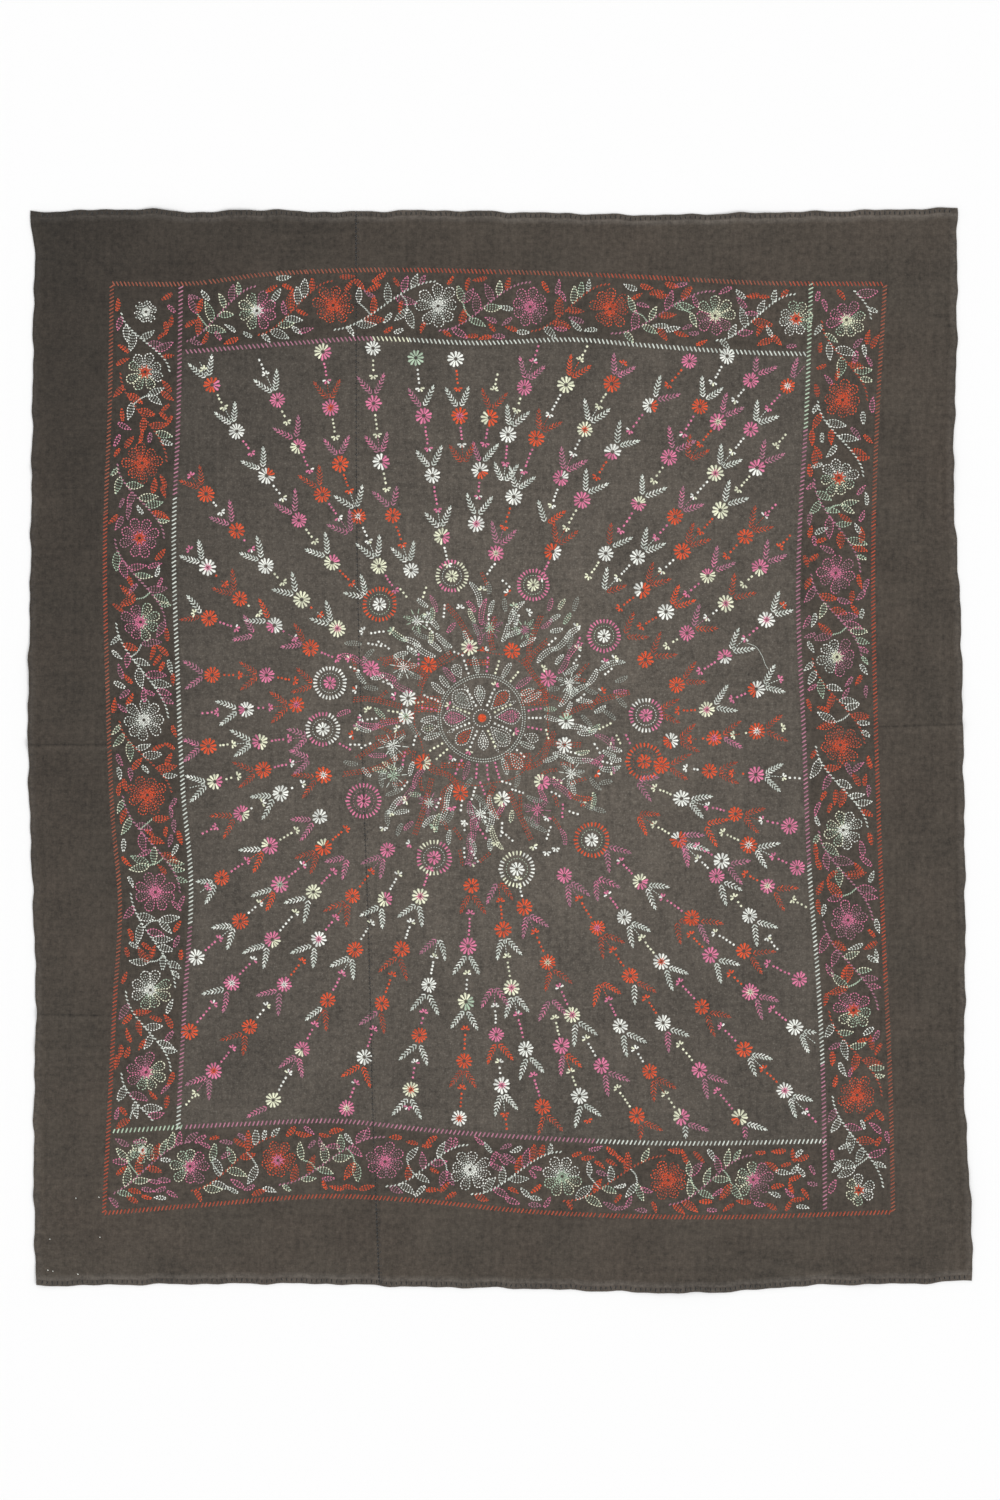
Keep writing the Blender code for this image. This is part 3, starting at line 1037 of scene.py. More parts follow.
def spray(row):
    """One ray: flowers in a row outwards, each with leaves, a bud and dots that lead to the next."""
    start, end = from_middle(*row[:2]), from_middle(*row[2:4])
    codes = row[4].split()
    turn = cmath.phase(end / start)
    places = []
    for k in range(len(codes)):
        share = k / max(1, len(codes) - 1)
        distance = abs(start) + (abs(end) - abs(start)) * share
        places.append(MIDDLE + cmath.rect(distance, cmath.phase(start) + turn * share) + wobble(3 * MM))
    lead_in = places[0] - MIDDLE
    if abs(lead_in) > 0.40 or (len(codes) > 3 and abs(lead_in) > 0.36):
        before = MIDDLE + lead_in * (1 - 0.112 / abs(lead_in))
    else:
        before = None
    for k, (place, code) in enumerate(zip(places, codes)):
        petal, second = FLOWER_THREAD[code[0]], FLOWER_THREAD[code[1]]
        daisy(place, FLOWER_RADIUS * chance.uniform(0.92, 1.05), petal, second, chance.randint(11, 13))
        towards = places[k + 1] - place if k + 1 < len(places) else place - (places[k - 1] if k else MIDDLE)
        angle = cmath.phase(towards)
        out = cmath.rect(1, angle)
        room = room_to_frame(place, angle) if k + 1 == len(places) else abs(towards)
        first_bud, second_bud = chance.choice(BUD_PAIRS)
        if room > 52 * MM:
            leaf_pair(place + out * LEAVES_AT, angle, petal)
        if room > 74 * MM:
            opening = angle + math.pi * (k + 1 < len(places))
            bud(place + out * min(BUD_AT, room - 46 * MM), opening, first_bud, second_bud)
        if k + 1 < len(places):
            dots(first_bud, place + out * DOTS_FROM, places[k + 1] - out * DOTS_END)
        elif room > 100 * MM:
            dots(first_bud, place + out * 64 * MM, place + out * min(92 * MM, room - 8 * MM))
    if before is not None:
        angle = cmath.phase(places[0] - before)
        out = cmath.rect(1, angle)
        first_bud, second_bud = chance.choice(BUD_PAIRS)
        bud(before + out * BUD_AT, angle + math.pi, first_bud, second_bud)
        dots(first_bud, before + out * DOTS_FROM, places[0] - out * DOTS_END)
        if abs(before - MIDDLE) > 0.3:
            leaf_pair(before + out * LEAVES_AT, angle, first_bud)


def wheel(row):
    """A round motif: spokes around an inner ring of dashes, with a flower inside."""
    angle, distance, radius, spoke, second_spoke, ring, petal = row
    middle = MIDDLE + cmath.rect(distance * MM, angle * DEGREE)
    radius *= MM
    count = 28
    for k in range(count):
        out = cmath.rect(1, 2 * math.pi * k / count)
        thread = second_spoke if (k * 5 // count) % 2 else spoke
        reach = radius * chance.uniform(0.96, 1.03)
        bar(thread, middle + out * radius * 0.70, middle + out * reach, 2.8 * MM, 4.4 * MM, PETAL_HEIGHT)
    for k in range(24):
        place = middle + cmath.rect(radius * 0.56, 2 * math.pi * k / 24)
        half = (place - middle) / abs(place - middle) * 1j * 2.2 * MM
        dash(ring, place - half, place + half, 2.2 * MM)
    daisy(middle, radius * 0.42, petal, petal, 10)


# Motifs of the borders


def leaf_line(base, angle, length, width, share, bend=0.0):
    """A line through a pointed leaf, from its base to its tip: its vein for share 0, a side for 1 or -1."""
    path = []
    for k in range(9):
        t = k / 8
        half = width / 2 * math.sin(math.pi * t**0.8) ** 0.9 if 0 < t < 1 else 0
        out = cmath.rect(1, angle + bend * t)
        path.append(base + cmath.rect(length * t, angle + bend * t / 2) + out * 1j * share * half)
    return path


def leaf(thread, base, angle, length=40 * MM, width=16 * MM):
    """A border leaf: a bright outline, with seed stitches inside. A rust one is filled closely."""
    bend = chance.uniform(-0.6, 0.6)
    for share in (1, -1):
        side = leaf_line(base, angle, length, width, share, bend)
        running(glint(thread, 0.6), side, 4.4 * MM, 1.3 * MM, 2.5 * MM)
    for share in (-0.45, 0, 0.45):
        line = leaf_line(base, angle, length, width, share, bend)[1:-1]
        if thread == "rust":
            running(glint(thread), line, 5.0 * MM, 1.0 * MM, 2.6 * MM)
        else:
            running(thread, line, 2.4 * MM, 3.2 * MM, 1.7 * MM)


def petal_line(middle, angle, inner, reach, widest, share):
    """A line through a round-ended petal, outwards: its vein for share 0, a side for 1 or -1."""
    out = cmath.rect(1, angle)
    path = []
    for k in range(10):
        t = k / 9
        round_end = math.sqrt(max(0.0, 1 - max(0.0, (t - 0.66) / 0.34) ** 2))
        half = widest / 2 * min(1.0, 0.2 + 1.1 * t) * round_end
        path.append(middle + out * (inner + (reach - inner) * t) + out * 1j * share * half)
    return path


def blossom(middle, radius, petal_thread, second_thread, heart_thread, petals=8):
    """A border flower: petals outlined twice in small stitches, around a bright heart."""
    first = chance.uniform(0, 2 * math.pi)
    span = 2 * math.pi / petals
    for k in range(petals):
        thread = second_thread if (k * 2 // petals) % 2 else petal_thread
        angle = first + (k + chance.uniform(-0.12, 0.12)) * span
        reach = radius * chance.uniform(0.88, 1.12)
        inner = radius * 0.18
        widest = 2 * math.sin(span / 2) * radius * 0.64
        for side in (1, -1):
            line = petal_line(middle, angle, inner, reach, widest, side)
            running(glint(thread, 0.6), line, 4.4 * MM, 1.3 * MM, 2.5 * MM)
            line = petal_line(middle, angle, inner * 1.5, reach * 0.84, widest * 0.62, side * 0.75)
            if thread == "rust":
                running(glint(thread), line, 5.2 * MM, 1.0 * MM, 3.0 * MM)
            else:
                running(thread, line, 2.6 * MM, 2.6 * MM, 1.7 * MM)
        line = petal_line(middle, angle, inner * 2, reach * 0.8, 0, 0)
        running(glint(thread), line, 2.8 * MM, 2.6 * MM, 1.9 * MM)
        out = cmath.rect(1, angle)
        bar(heart_thread, middle + out * 2 * MM, middle + out * radius * 0.42, 2.0 * MM, 2.4 * MM, 1.3 * MM)
        out = cmath.rect(1, angle + span / 2)
        bar(heart_thread, middle + out * 2 * MM, middle + out * radius * 0.3, 1.8 * MM, 2.2 * MM, 1.3 * MM)


class Band:
    """One border band, with its own directions: along it, and across it towards the field."""

    def __init__(self, outer, inner, along, inwards):
        self.outer, self.inner, self.along, self.inwards = outer, inner, along, inwards

    def place(self, along_mm, across_mm):
        """The point this far along, and this far from the band's middle towards the field."""
        at = along_mm * MM
        across = (float(self.outer(at)) + float(self.inner(at))) / 2
        if self.along == 1:
            middle = complex(at, across)
        else:
            middle = complex(across, at)
        return middle + self.inwards * across_mm * MM

    def angle(self, degrees):
        """An angle in the band's own directions, as an angle of the cloth."""
        turned = self.along * math.cos(degrees * DEGREE) + self.inwards * math.sin(degrees * DEGREE)
        return cmath.phase(turned)


BANDS = {
    "left": Band(outer_left, inner_left, -1j, 1),
    "top": Band(outer_top, inner_top, 1, -1j),
    "right": Band(outer_right, inner_right, -1j, -1),
    "bottom": Band(outer_bottom, inner_bottom, 1, 1j),
}

# The scroll between two border flowers: how far it swings to each side of the band's middle, the
# shortest gap that it fits in, the step between its leaves, and its twigs: where each leaves the stem,
# as a share of it, and its lean in degrees, forwards along the band and towards the stem's own side.
SCROLL_SWING = 49
SCROLL_GAP = 110
LEAF_STEP = 19 * MM
TWIG_LENGTH = 34 * MM
TWIGS = [(0.34, 130), (0.66, -50)]
BLOOM_ROOM = 43 * MM
GAP_THREADS = {
    "grey": ["grey", "rust", "rose"],
    "rust": ["grey", "rust", "green"],
    "rose": ["green", "rust", "rose"],
    "green": ["grey", "rose", "rust"],
}


def in_band(name, place):
    """Whether a place lies in the ground of a band, clear of the lines around it."""
    x, y = place.real, place.imag
    room = 9 * MM
    if name in ("left", "right"):
        low, high = (inner_bottom(x), outer_top(x)) if name == "left" else (outer_bottom(x), outer_top(x))
        sides = (outer_left(y), inner_left(y)) if name == "left" else (inner_right(y), outer_right(y))
    else:
        low, high = (inner_top(x), outer_top(x)) if name == "top" else (outer_bottom(x), inner_bottom(x))
        sides = (inner_left(y), inner_right(y)) if name == "top" else (outer_left(y), inner_right(y))
    return low + room < y < high - room and sides[0] + room < x < sides[1] - room


def leaf_room(name, base, angle, length):
    """The leaf's length, shortened where it would leave its band."""
    while length > 0 and not in_band(name, base + cmath.rect(length, angle)):
        length -= 3 * MM
    return length if in_band(name, base) or in_band(name, base + cmath.rect(12 * MM, angle)) else 0


def taken(place, places, room):
    return any(abs(place - other) < room for other in places)


def small_leaves(name, crowd, blooms):
    """Slim leaves in the places of a band that are still free, most of them rust or rose."""
    band = BANDS[name]
    for along in range(-940, 941, 13):
        for across in range(-56, 57, 14):
            place = band.place(along + chance.uniform(-5, 5), across + chance.uniform(-5, 5))
            if not in_band(name, place) or taken(place, crowd, 13 * MM) or taken(place, blooms, 48 * MM):
                continue
            angle = band.angle(chance.choice([0, 180]) + chance.uniform(-65, 65))
            length = chance.uniform(22, 32) * MM
            base = place - cmath.rect(length / 2, angle)
            if in_band(name, base) and in_band(name, base + cmath.rect(length, angle)):
                thread = chance.choice(["rust", "rust", "rust", "rose", "rose", "grey"])
                leaf(thread, base, angle, length, length * chance.uniform(0.26, 0.36))
                third = cmath.rect(length / 3, angle)
                crowd += [place, place + third, place - third]


def scroll_leaf(name, threads, base, angle, leaves, blooms):
    """A leaf of a scroll, if it has room in its band and beside the flowers and the other leaves."""
    length = leaf_room(name, base, angle, chance.uniform(30, 44) * MM)
    if length < 20 * MM:
        return False
    for share in (0.45, 0.75, 1):
        place = base + cmath.rect(length * share, angle)
        if taken(place, leaves, 10.5 * MM) or taken(place, blooms, BLOOM_ROOM):
            return False
    thread = chance.choice([threads[0], threads[0], threads[1], threads[2]])
    leaf(thread, base, angle, length, length * chance.uniform(0.32, 0.42))
    leaves += [base + cmath.rect(length * share, angle) for share in (0.2, 0.5, 0.8)]
    return True


def twig(name, threads, base, angle, leaves, blooms):
    """A short curved twig with up to three leaves at its end."""
    curl = chance.uniform(-0.6, 0.6)
    end = base + cmath.rect(TWIG_LENGTH / 2, angle) + cmath.rect(TWIG_LENGTH / 2, angle + curl)
    if not in_band(name, end) or taken(end, blooms, BLOOM_ROOM):
        return []
    path = rounded([base, base + cmath.rect(TWIG_LENGTH / 2, angle), end])
    rope(threads[0], path, 4.8 * MM, 6.4 * MM, 30, 2.3 * MM)
    for fan in (0, 0.9, -0.9):
        scroll_leaf(name, threads, end, angle + curl + fan, leaves, blooms)
    return path


def border(name, start):
    """A band of flowers, each in the crook of a scrolling stem, with leaves in all the gaps."""
    band = BANDS[name]
    rows = BORDER_FLOWERS[name]
    blooms = [band.place(row[0], 0) for row in rows]
    before = start
    crowd, leaves = [], []
    for along, radius, petal, second, heart, side in rows:
        blossom(band.place(along, 0), radius * MM, petal, second, heart, 8 if radius > 30 else 6)
        path = []
        for share in np.linspace(0, 1, 15):
            swing = -SCROLL_SWING * math.cos(math.pi * share)
            path.append(band.place(before + (along - before) * share, side * swing))
        path = [place for place in path if in_band(name, place)]
        if abs(along - before) > SCROLL_GAP and len(path) > 6:
            threads = GAP_THREADS[petal]
            stem("grey" if petal == "green" else petal, path)
            crowd += rounded(path, 3)
            for share, lean in TWIGS:
                base = path[round(share * (len(path) - 1))]
                crowd += twig(name, threads, base, band.angle(side * lean), leaves, blooms)
            hand = chance.choice([1, -1])
            for base, direction in walk(rounded(path), LEAF_STEP):
                hand = -hand
                for turn in (hand, -hand):
                    angle = cmath.phase(direction) + turn * chance.uniform(0.6, 1.0)
                    if scroll_leaf(name, threads, base, angle, leaves, blooms):
                        break
        before = along
    small_leaves(name, crowd + leaves, blooms)


# Frame lines


def line_up(line, low, high, step=12 * MM):
    """A line that runs up the cloth, as a path."""
    count = max(2, round((high - low) / step))
    return [complex(float(line(at)), at) for at in np.linspace(low, high, count)]


def line_across(line, left, right, step=12 * MM):
    """A line that runs across the cloth, as a path."""
    count = max(2, round((right - left) / step))
    return [complex(at, float(line(at))) for at in np.linspace(left, right, count)]


def outer_frame():
    """The rust line around the borders."""
    for path, slant in (
        (line_up(outer_left, -0.926, 0.932), -58),
        (line_up(outer_right, -0.924, 0.932), -58),
        (line_across(outer_top, -0.776, 0.770), -62),
        (line_across(outer_bottom, -0.792, 0.786), 62),
    ):
        for share in range(8):
            part = path[len(path) * share // 8 : len(path) * (share + 1) // 8 + 1]
            rope(chance.choice(["rust", "brown"]), part, 7.6 * MM, 13 * MM, slant, 2.9 * MM)


# Inner frame lines: path, slant in degrees, and (thread, where it ends along the path, as a share)
INNER_LINES = [
    (line_up(inner_left, -0.76, 0.932), -60, [("grey", 0.03), ("rose", 0.24), ("grey", 0.75), ("rose", 1)]),
    (line_across(inner_top, -0.63, 0.612), -60, [("rose", 0.3), ("cream", 0.36), ("grey", 1)]),
    (
        line_up(inner_right, -0.92, 0.932),
        -60,
        [("rose", 0.16), ("grey", 0.37), ("rose", 0.84), ("green", 1)],
    ),
    (line_across(inner_bottom, -0.776, 0.65), 64, [("green", 0.1), ("rose", 0.68), ("grey", 1)]),
]


def inner_frame():
    """The four rope lines between the borders and the field."""
    for path, slant, threads in INNER_LINES:
        start = 0
        for thread, share in threads:
            end = round(share * (len(path) - 1))
            rope(thread, path[start : end + 1], 8.4 * MM, 13 * MM, slant, 3.1 * MM)
            start = end


# The middle of the sunburst


def around(angle, distance):
    """The place at this angle in degrees and this distance in millimetres from the sunburst's middle."""
    return MIDDLE + cmath.rect(distance * MM, angle * DEGREE)


def arc(low, high, distance, ripple=0.0, lobes=1):
    """A path around the middle between two angles, which may be lobed."""
    count = max(4, round((high - low) / 3))
    path = []
    for angle in np.linspace(low, high, count):
        path.append(around(angle, distance + ripple * abs(math.sin(lobes * angle * DEGREE / 2))))
    return path


def beside(path, distance):
    """The path that runs along another one at this distance, on its left."""
    moved = []
    for k, place in enumerate(path):
        direction = path[min(k + 1, len(path) - 1)] - path[max(k - 1, 0)]
        moved.append(place + direction / abs(direction) * 1j * distance)
    return moved


def ribbon(thread, path, rows=3):
    """A broad line, of rows of small stitches side by side."""
    for row in range(rows):
        line = beside(path, (row - (rows - 1) / 2) * 4.1 * MM)
        running(thread, line, 4.4 * MM, 1.6 * MM, 2.5 * MM)


def snake(thread, base, angle, length, width=10 * MM, bend=0.0):
    """A slim curved strip: two outlines that meet at both ends, with seed stitches between them."""
    path = [base + cmath.rect(length * k / 10, angle + bend * k / 20) for k in range(11)]
    for side in (1, -1):
        outward = beside(path, side * width / 2)
        line = []
        for k, (inner, outer) in enumerate(zip(path, outward)):
            line.append(inner + (outer - inner) * math.sin(math.pi * k / 10) ** 0.4)
        running(glint(thread, 0.5), line, 3.6 * MM, 1.3 * MM, 2.4 * MM)
    for k, (place, direction) in enumerate(walk(path, 4.4 * MM)):
        half = direction * cmath.rect(1.8 * MM, 0.9 if k % 2 else -0.9)
        bar(glint(thread), place - half, place + half, 2.3 * MM)


def teardrop(angle, near, far, width, edge_thread, fill_thread):
    """A petal of the middle: its outline in small stitches, filled with seed stitches."""
    out = cmath.rect(1, angle * DEGREE)
    base = MIDDLE + out * near * MM
    length = (far - near) * MM
    width *= MM
    for side in (1, -1):
        path = []
        for k in range(13):
            t = k / 12
            half = width / 2 * math.sin(math.pi * t**1.6) ** 0.75 if 0 < t < 1 else 0
            path.append(base + out * length * t + out * 1j * side * half)
        running(edge_thread, path, 3.2 * MM, 1.6 * MM, 2.2 * MM)
    rows = max(2, round(length / (5.6 * MM)))
    for k in range(2, rows):
        t = k / rows
        half = width / 2 * math.sin(math.pi * t**1.6) ** 0.75 - 2.4 * MM
        columns = max(1, round(2 * half / (4.8 * MM)))
        for column in range(columns):
            aside = (column - (columns - 1) / 2) * 4.6 * MM
            place = base + out * length * t + out * 1j * aside + wobble(0.5 * MM)
            bar(glint(fill_thread), place - out * 1.8 * MM, place + out * 1.8 * MM, 2.2 * MM)


def patch(thread, x, y, width, height):
    """A block that is filled with rows of small stitches. Sizes are in millimetres from the middle."""
    for row in np.arange(y - height / 2, y + height / 2, 4.2):
        for column in np.arange(x - width / 2, x + width / 2, 6.0):
            place = MIDDLE + complex(column + row % 3, row) * MM + wobble(0.8 * MM)
            bar(glint(thread), place - 2.2 * MM, place + 2.2 * MM, 2.5 * MM)


# Filled blocks, evenly around the ring: how many, how far from the middle, and their widths and
# heights by turns, in millimetres
PATCH_COUNT = 5
PATCH_DISTANCE = 112
PATCH_SIZES = [(50, 30), (46, 9)]

# Rust ribbons that wander between the motifs
RIBBON_COUNT = 11


def ribbon_paths():
    """Paths evenly around the middle: every third follows the ring, and the others lead outwards."""
    paths = []
    for k in range(RIBBON_COUNT):
        angle = (k + 0.5) * 360 / RIBBON_COUNT
        if k % 3 == 0:
            points = [around(angle + 13 * step, 140 + chance.uniform(-8, 8)) for step in range(4)]
        else:
            points = [around(angle + chance.uniform(-5, 5), distance) for distance in (136, 168, 204)]
        paths.append(rounded(points))
    return paths


RIBBONS = ribbon_paths()

# The eight petals of the middle: thread, distance of the tip and width in millimetres
LOTUS = [
    ("rose", 78, 32),
    ("rust", 76, 28),
    ("grey", 66, 21),
    ("mist", 78, 36),
    ("rose", 78, 33),
    ("rust", 73, 27),
    ("white", 64, 20),
    ("mist", 76, 32),
]

# What stands around the circle, drawn by chance: a strip, a row of dots, a lobe or a bud
AROUND_COUNT = 34
AROUND = ["strip", "strip", "strip", "dots", "dots", "lobe", "bud"]
STRIP_THREADS = ["grey", "rose", "grey", "grey", "rose", "green", "grey"]


def medallion():
    """The lotus in the middle, the strips and dots around it, and the rust between the motifs."""
    for k in range(12):
        out = cmath.rect(1, k * math.pi / 6)
        bar("red", MIDDLE, MIDDLE + out * 9.5 * MM, 4.2 * MM)
    running("white", arc(0, 360, 17), 2.8 * MM, 2.4 * MM, 3.0 * MM)
    for k, (fill, far, width) in enumerate(LOTUS):
        angle = k * 45 + 2 + chance.uniform(-4, 4)
        teardrop(angle, 24, far, width, "white", fill)
        teardrop(angle, 33, far - 7, width * 0.6, GLINTS.get(fill, "white"), fill)
        dots("white" if k % 3 else "cream", around(angle + 22, 24), around(angle + 22, 66))
        if k % 2:
            bud(around(angle + 23, 70), (angle + 22) * DEGREE, "cream", "pink")
        else:
            zigzag = [around(angle + 23 + turn, 70 + 5 * math.cos(turn)) for turn in range(-4, 5)]
            running("white", zigzag, 3 * MM)
    for distance in (81, 86):
        running("grey", arc(0, 360, distance, 2, 3), 3.4 * MM, 1.5 * MM, 2.3 * MM)
    for k in range(AROUND_COUNT):
        kind = chance.choice(AROUND)
        angle = k * 360 / AROUND_COUNT + chance.uniform(-1.5, 1.5)
        far = chance.uniform(118, 129)
        thread = chance.choice(STRIP_THREADS)
        if kind == "strip":
            base = around(angle - 1, 90)
            snake(thread, base, angle * DEGREE, (far - 90) * MM, 10 * MM, chance.uniform(-0.4, 0.4))
        elif kind == "dots":
            dots(chance.choice(["white", "white", "cream", "pink"]), around(angle, 90), around(angle, far))
        elif kind == "lobe":
            teardrop(angle, 90, far, chance.uniform(18, 22), "white", thread)
        else:
            bud(around(angle, 98), angle * DEGREE, "white", "pink")
            dash("white", around(angle, 108), around(angle, 114), 2.6 * MM)
    running("rust", arc(0, 360, 130, 6, 9), 4.4 * MM, 1.8 * MM, 2.4 * MM)
    for k in range(PATCH_COUNT):
        place = cmath.rect(PATCH_DISTANCE, (k + 0.3) * 2 * math.pi / PATCH_COUNT)
        patch("rust", place.real, place.imag, *PATCH_SIZES[k % 2])
    for path in RIBBONS:
        ribbon("rust", path)


def star(middle, radius, thread, heart_thread):
    """A star of thin rays, each a line of two long stitches, some of them inside a leaf."""
    first = chance.uniform(0, 1)
    for k in range(9):
        angle = first + 2 * math.pi * k / 9 + chance.uniform(-0.1, 0.1)
        out = cmath.rect(1, angle)
        reach = radius * chance.uniform(0.85, 1.15)
        bar(heart_thread, middle, middle + out * reach * 0.5, 1.8 * MM, 2.6 * MM, 1.2 * MM)
        bar(thread, middle + out * reach * 0.5, middle + out * reach, 2.4 * MM, 1.8 * MM)
        if k % 3 == 0:
            for share in (1, -1):
                line = leaf_line(middle + out * 5 * MM, angle, reach, reach * 0.34, share)
                running(thread, line, 3.4 * MM, 1.6 * MM, 1.8 * MM)


# Larger stars near the middle: angle in degrees, distance and radius in millimetres, threads
STARS = [
    (147, 187, 28, "grey", "white"),
    (197, 186, 30, "grey", "white"),
    (213, 211, 26, "grey", "green"),
    (269, 192, 25, "grey", "white"),
    (124, 234, 25, "green", "white"),
    (301, 214, 27, "rose", "pink"),
    (85, 181, 24, "rose", "green"),
    (64, 196, 20, "green", "rose"),
    (22, 188, 24, "grey", "white"),
    (328, 210, 25, "grey", "white"),
    (238, 200, 22, "rose", "grey"),
]

# Branches near the middle: angles and distances of both ends in degrees and millimetres, threads
BRANCHES = [
    (8, 156, 24, 290, "grey", "white"),
    (2, 160, 10, 300, "rust", "red"),
    (352, 156, 350, 262, "grey", "rose"),
    (44, 156, 44, 262, "grey", "white"),
    (52, 152, 60, 236, "rust", "rose"),
    (92, 150, 90, 256, "rose", "grey"),
    (98, 156, 108, 240, "rust", "rose"),
    (112, 152, 118, 232, "grey", "white"),
    (128, 156, 136, 250, "grey", "green"),
    (140, 150, 152, 226, "rust", "rose"),
    (158, 150, 156, 290, "rose", "pink"),
    (172, 160, 172, 262, "rust", "grey"),
    (182, 168, 184, 250, "rose", "rose"),
    (190, 156, 198, 262, "rust", "rust"),
    (204, 156, 202, 300, "rust", "rose"),
    (222, 156, 226, 262, "rose", "grey"),
    (230, 156, 240, 270, "rust", "rust"),
    (246, 150, 246, 236, "grey", "green"),
    (262, 170, 266, 290, "rose", "rose"),
    (276, 156, 276, 250, "grey", "cream"),
    (290, 156, 292, 262, "rust", "rose"),
    (312, 160, 320, 262, "rose", "rust"),
    (334, 160, 338, 280, "grey", "rose"),
    (74, 156, 74, 232, "grey", "green"),
    (30, 172, 36, 236, "rose", "grey"),
]


def branch(row):
    """A line of curved strips that leads outwards near the middle, or a ribbon of rust."""
    start_angle, near, end_angle, far, thread, second_thread = row
    start, end = around(start_angle, near), around(end_angle, far)
    if thread == "rust":
        ribbon("rust", rounded([start, (start + end) / 2 + wobble(14 * MM), end]), 3)
        return
    heading = cmath.phase(end - start)
    count = max(2, round(abs(end - start) / (34 * MM)))
    side = chance.choice([1, -1])
    for k in range(count):
        base = start + (end - start) * k / count + wobble(4 * MM)
        turn = heading + side * chance.uniform(0.1, 0.5)
        bend = -side * chance.uniform(0.5, 1.2)
        strip_thread = second_thread if k % 3 == 2 else thread
        snake(strip_thread, base, turn, chance.uniform(38, 56) * MM, 9.5 * MM, bend)
        side = -side
        if k % 2:
            across = base + cmath.rect(13 * MM, heading + side * math.pi / 2)
            dots("white", across, across + cmath.rect(26 * MM, heading))
    bud(end, heading, second_thread, "cream")


# Step between the places that are tried for a small motif, in millimetres
TANGLE_STEP = 15


def tangle():
    """Strips, rust ribbons, dotted lines and buds that fill the ground between the motifs near the middle.
    """
    crowd = [MIDDLE + from_middle(*row[:2]) for row in RAYS]
    crowd += [around(angle, distance) for angle, distance, _ in NEAR_FLOWERS]
    crowd += [around(row[0], row[1]) for row in STARS]
    wheels = [around(row[0], row[1]) for row in WHEELS]
    lines = []
    for low, near, high, far, *_ in BRANCHES:
        lines += [around(low + (high - low) * t / 5, near + (far - near) * t / 5) for t in range(6)]
    for path in RIBBONS:
        lines += path[::3]
    for distance in range(140, 300, 17):
        for k in range(round(2 * math.pi * distance / TANGLE_STEP)):
            angle = k * TANGLE_STEP / distance / DEGREE + chance.uniform(-3, 3)
            place = around(angle, distance + chance.uniform(-6, 6))
            left_side = 0.2 * (1 - math.cos(angle * DEGREE)) / 2
            if chance.random() > 1.06 - 0.62 * (distance - 150) / 150 + left_side:
                continue
            if taken(place, crowd, 18 * MM) or taken(place, wheels, 50 * MM) or taken(place, lines, 12 * MM):
                continue
            crowd.append(place)
            thread = chance.choice(["grey", "mist", "rose", "grey", "green", "mist"])
            heading = (angle + chance.uniform(-60, 60)) * DEGREE
            length = chance.uniform(24, 36) * MM
            base = place - cmath.rect(length / 2, heading)
            what = chance.random()
            if what < 0.5:
                snake(thread, base, heading, length, 8 * MM, chance.uniform(-1, 1))
            elif what < 0.66:
                ribbon("rust", rounded([base, place + wobble(4 * MM), place + place - base]), 2)
            elif what < 0.86:
                dot_thread = chance.choice(["white", "white", "pink", "cream"])
                dots(dot_thread, base, base + cmath.rect(length, heading))
            else:
                bud(place, heading, chance.choice(["pink", "cream", "red", "white"]), "white")


# Sewing of the seam, and painted shade in the dents of the hems


def dent_shade_ticks(line_path, length, pitch, width):
    """Short dark stitch shapes that stand across a line: painted shade in the dents of a sewn hem."""
    for place, direction in walk(line_path, pitch):
        half = direction * 1j * length / 2 + wobble(0.8 * MM)
        bar("dark", place - half, place + half, width, None, 0.35 * MM)


def seam_and_hems():
    """Dark whip stitches over the seam, and small dark marks along the hems that paint the shade in their
    dents.
    """
    low, high = -1.066, 1.07
    for start, end in ((low, -0.90), (0.96, high)):
        rope("dark", line_up(seam, start, end), 8 * MM, 5.4 * MM, 70, 4.2 * MM)
    rope("dark", line_up(seam, -0.90, 0.96), 11 * MM, 6 * MM, 62, 2.2 * MM)
    running("dark", line_up(shifted(seam, 5 * MM), low, high), 4 * MM, 10 * MM, 1.6 * MM)
    # Painted shade in the dents along the hems
    dent_shade_ticks(line_across(shifted(top_edge, -7 * MM), -0.93, 0.9), 9 * MM, 10 * MM, 3.0 * MM)
    dent_shade_ticks(line_across(shifted(bottom_edge, 7 * MM), -0.92, 0.93), 9 * MM, 10 * MM, 3.0 * MM)
    dent_shade_ticks(line_up(shifted(left_edge, 5 * MM), low, high), 3 * MM, 13 * MM, 1.6 * MM)
    dent_shade_ticks(line_up(shifted(right_edge, -5 * MM), low, high), 3 * MM, 13 * MM, 1.6 * MM)


# Bits of thread and fluff that lie on the cloth, in millimetres
SPECKS = [
    (-848, -896),
    (-802, -894),
    (-900, -978),
    (-800, -974),
    (-904, -1040),
    (-894, -1042),
    (-844, -1048),
]
LOOSE_THREAD = [(494, 214), (512, 206), (524, 188), (530, 172), (536, 162)]


def bits_on_top():
    """White specks near a corner, and a loose end of thread in the field."""
    for x, y in SPECKS:
        place = complex(x, y) * MM
        out = cmath.rect(2.4 * MM, chance.uniform(0, math.pi))
        dash("white", place - out, place + out, 2.2 * MM)
    path = rounded([complex(x, y) * MM for x, y in LOOSE_THREAD])
    for start, end in zip(path, path[1:]):
        bar("grey", start, end + (end - start) * 0.3, 1.3 * MM)


def sew_everything():
    outer_frame()
    inner_frame()
    border("left", 946)
    border("top", -640)
    border("right", 1000)
    border("bottom", -800)
    for row in RAYS:
        spray(row)
    for row in WHEELS:
        wheel(row)
    for row in BRANCHES:
        branch(row)
    for angle, distance, radius, thread, heart in STARS:
        star(around(angle, distance), radius * MM, thread, heart)
    for angle, distance, code in NEAR_FLOWERS:
        daisy(around(angle, distance), FLOWER_RADIUS, FLOWER_THREAD[code[0]], FLOWER_THREAD[code[1]])
    tangle()
    medallion()
    seam_and_hems()
    bits_on_top()


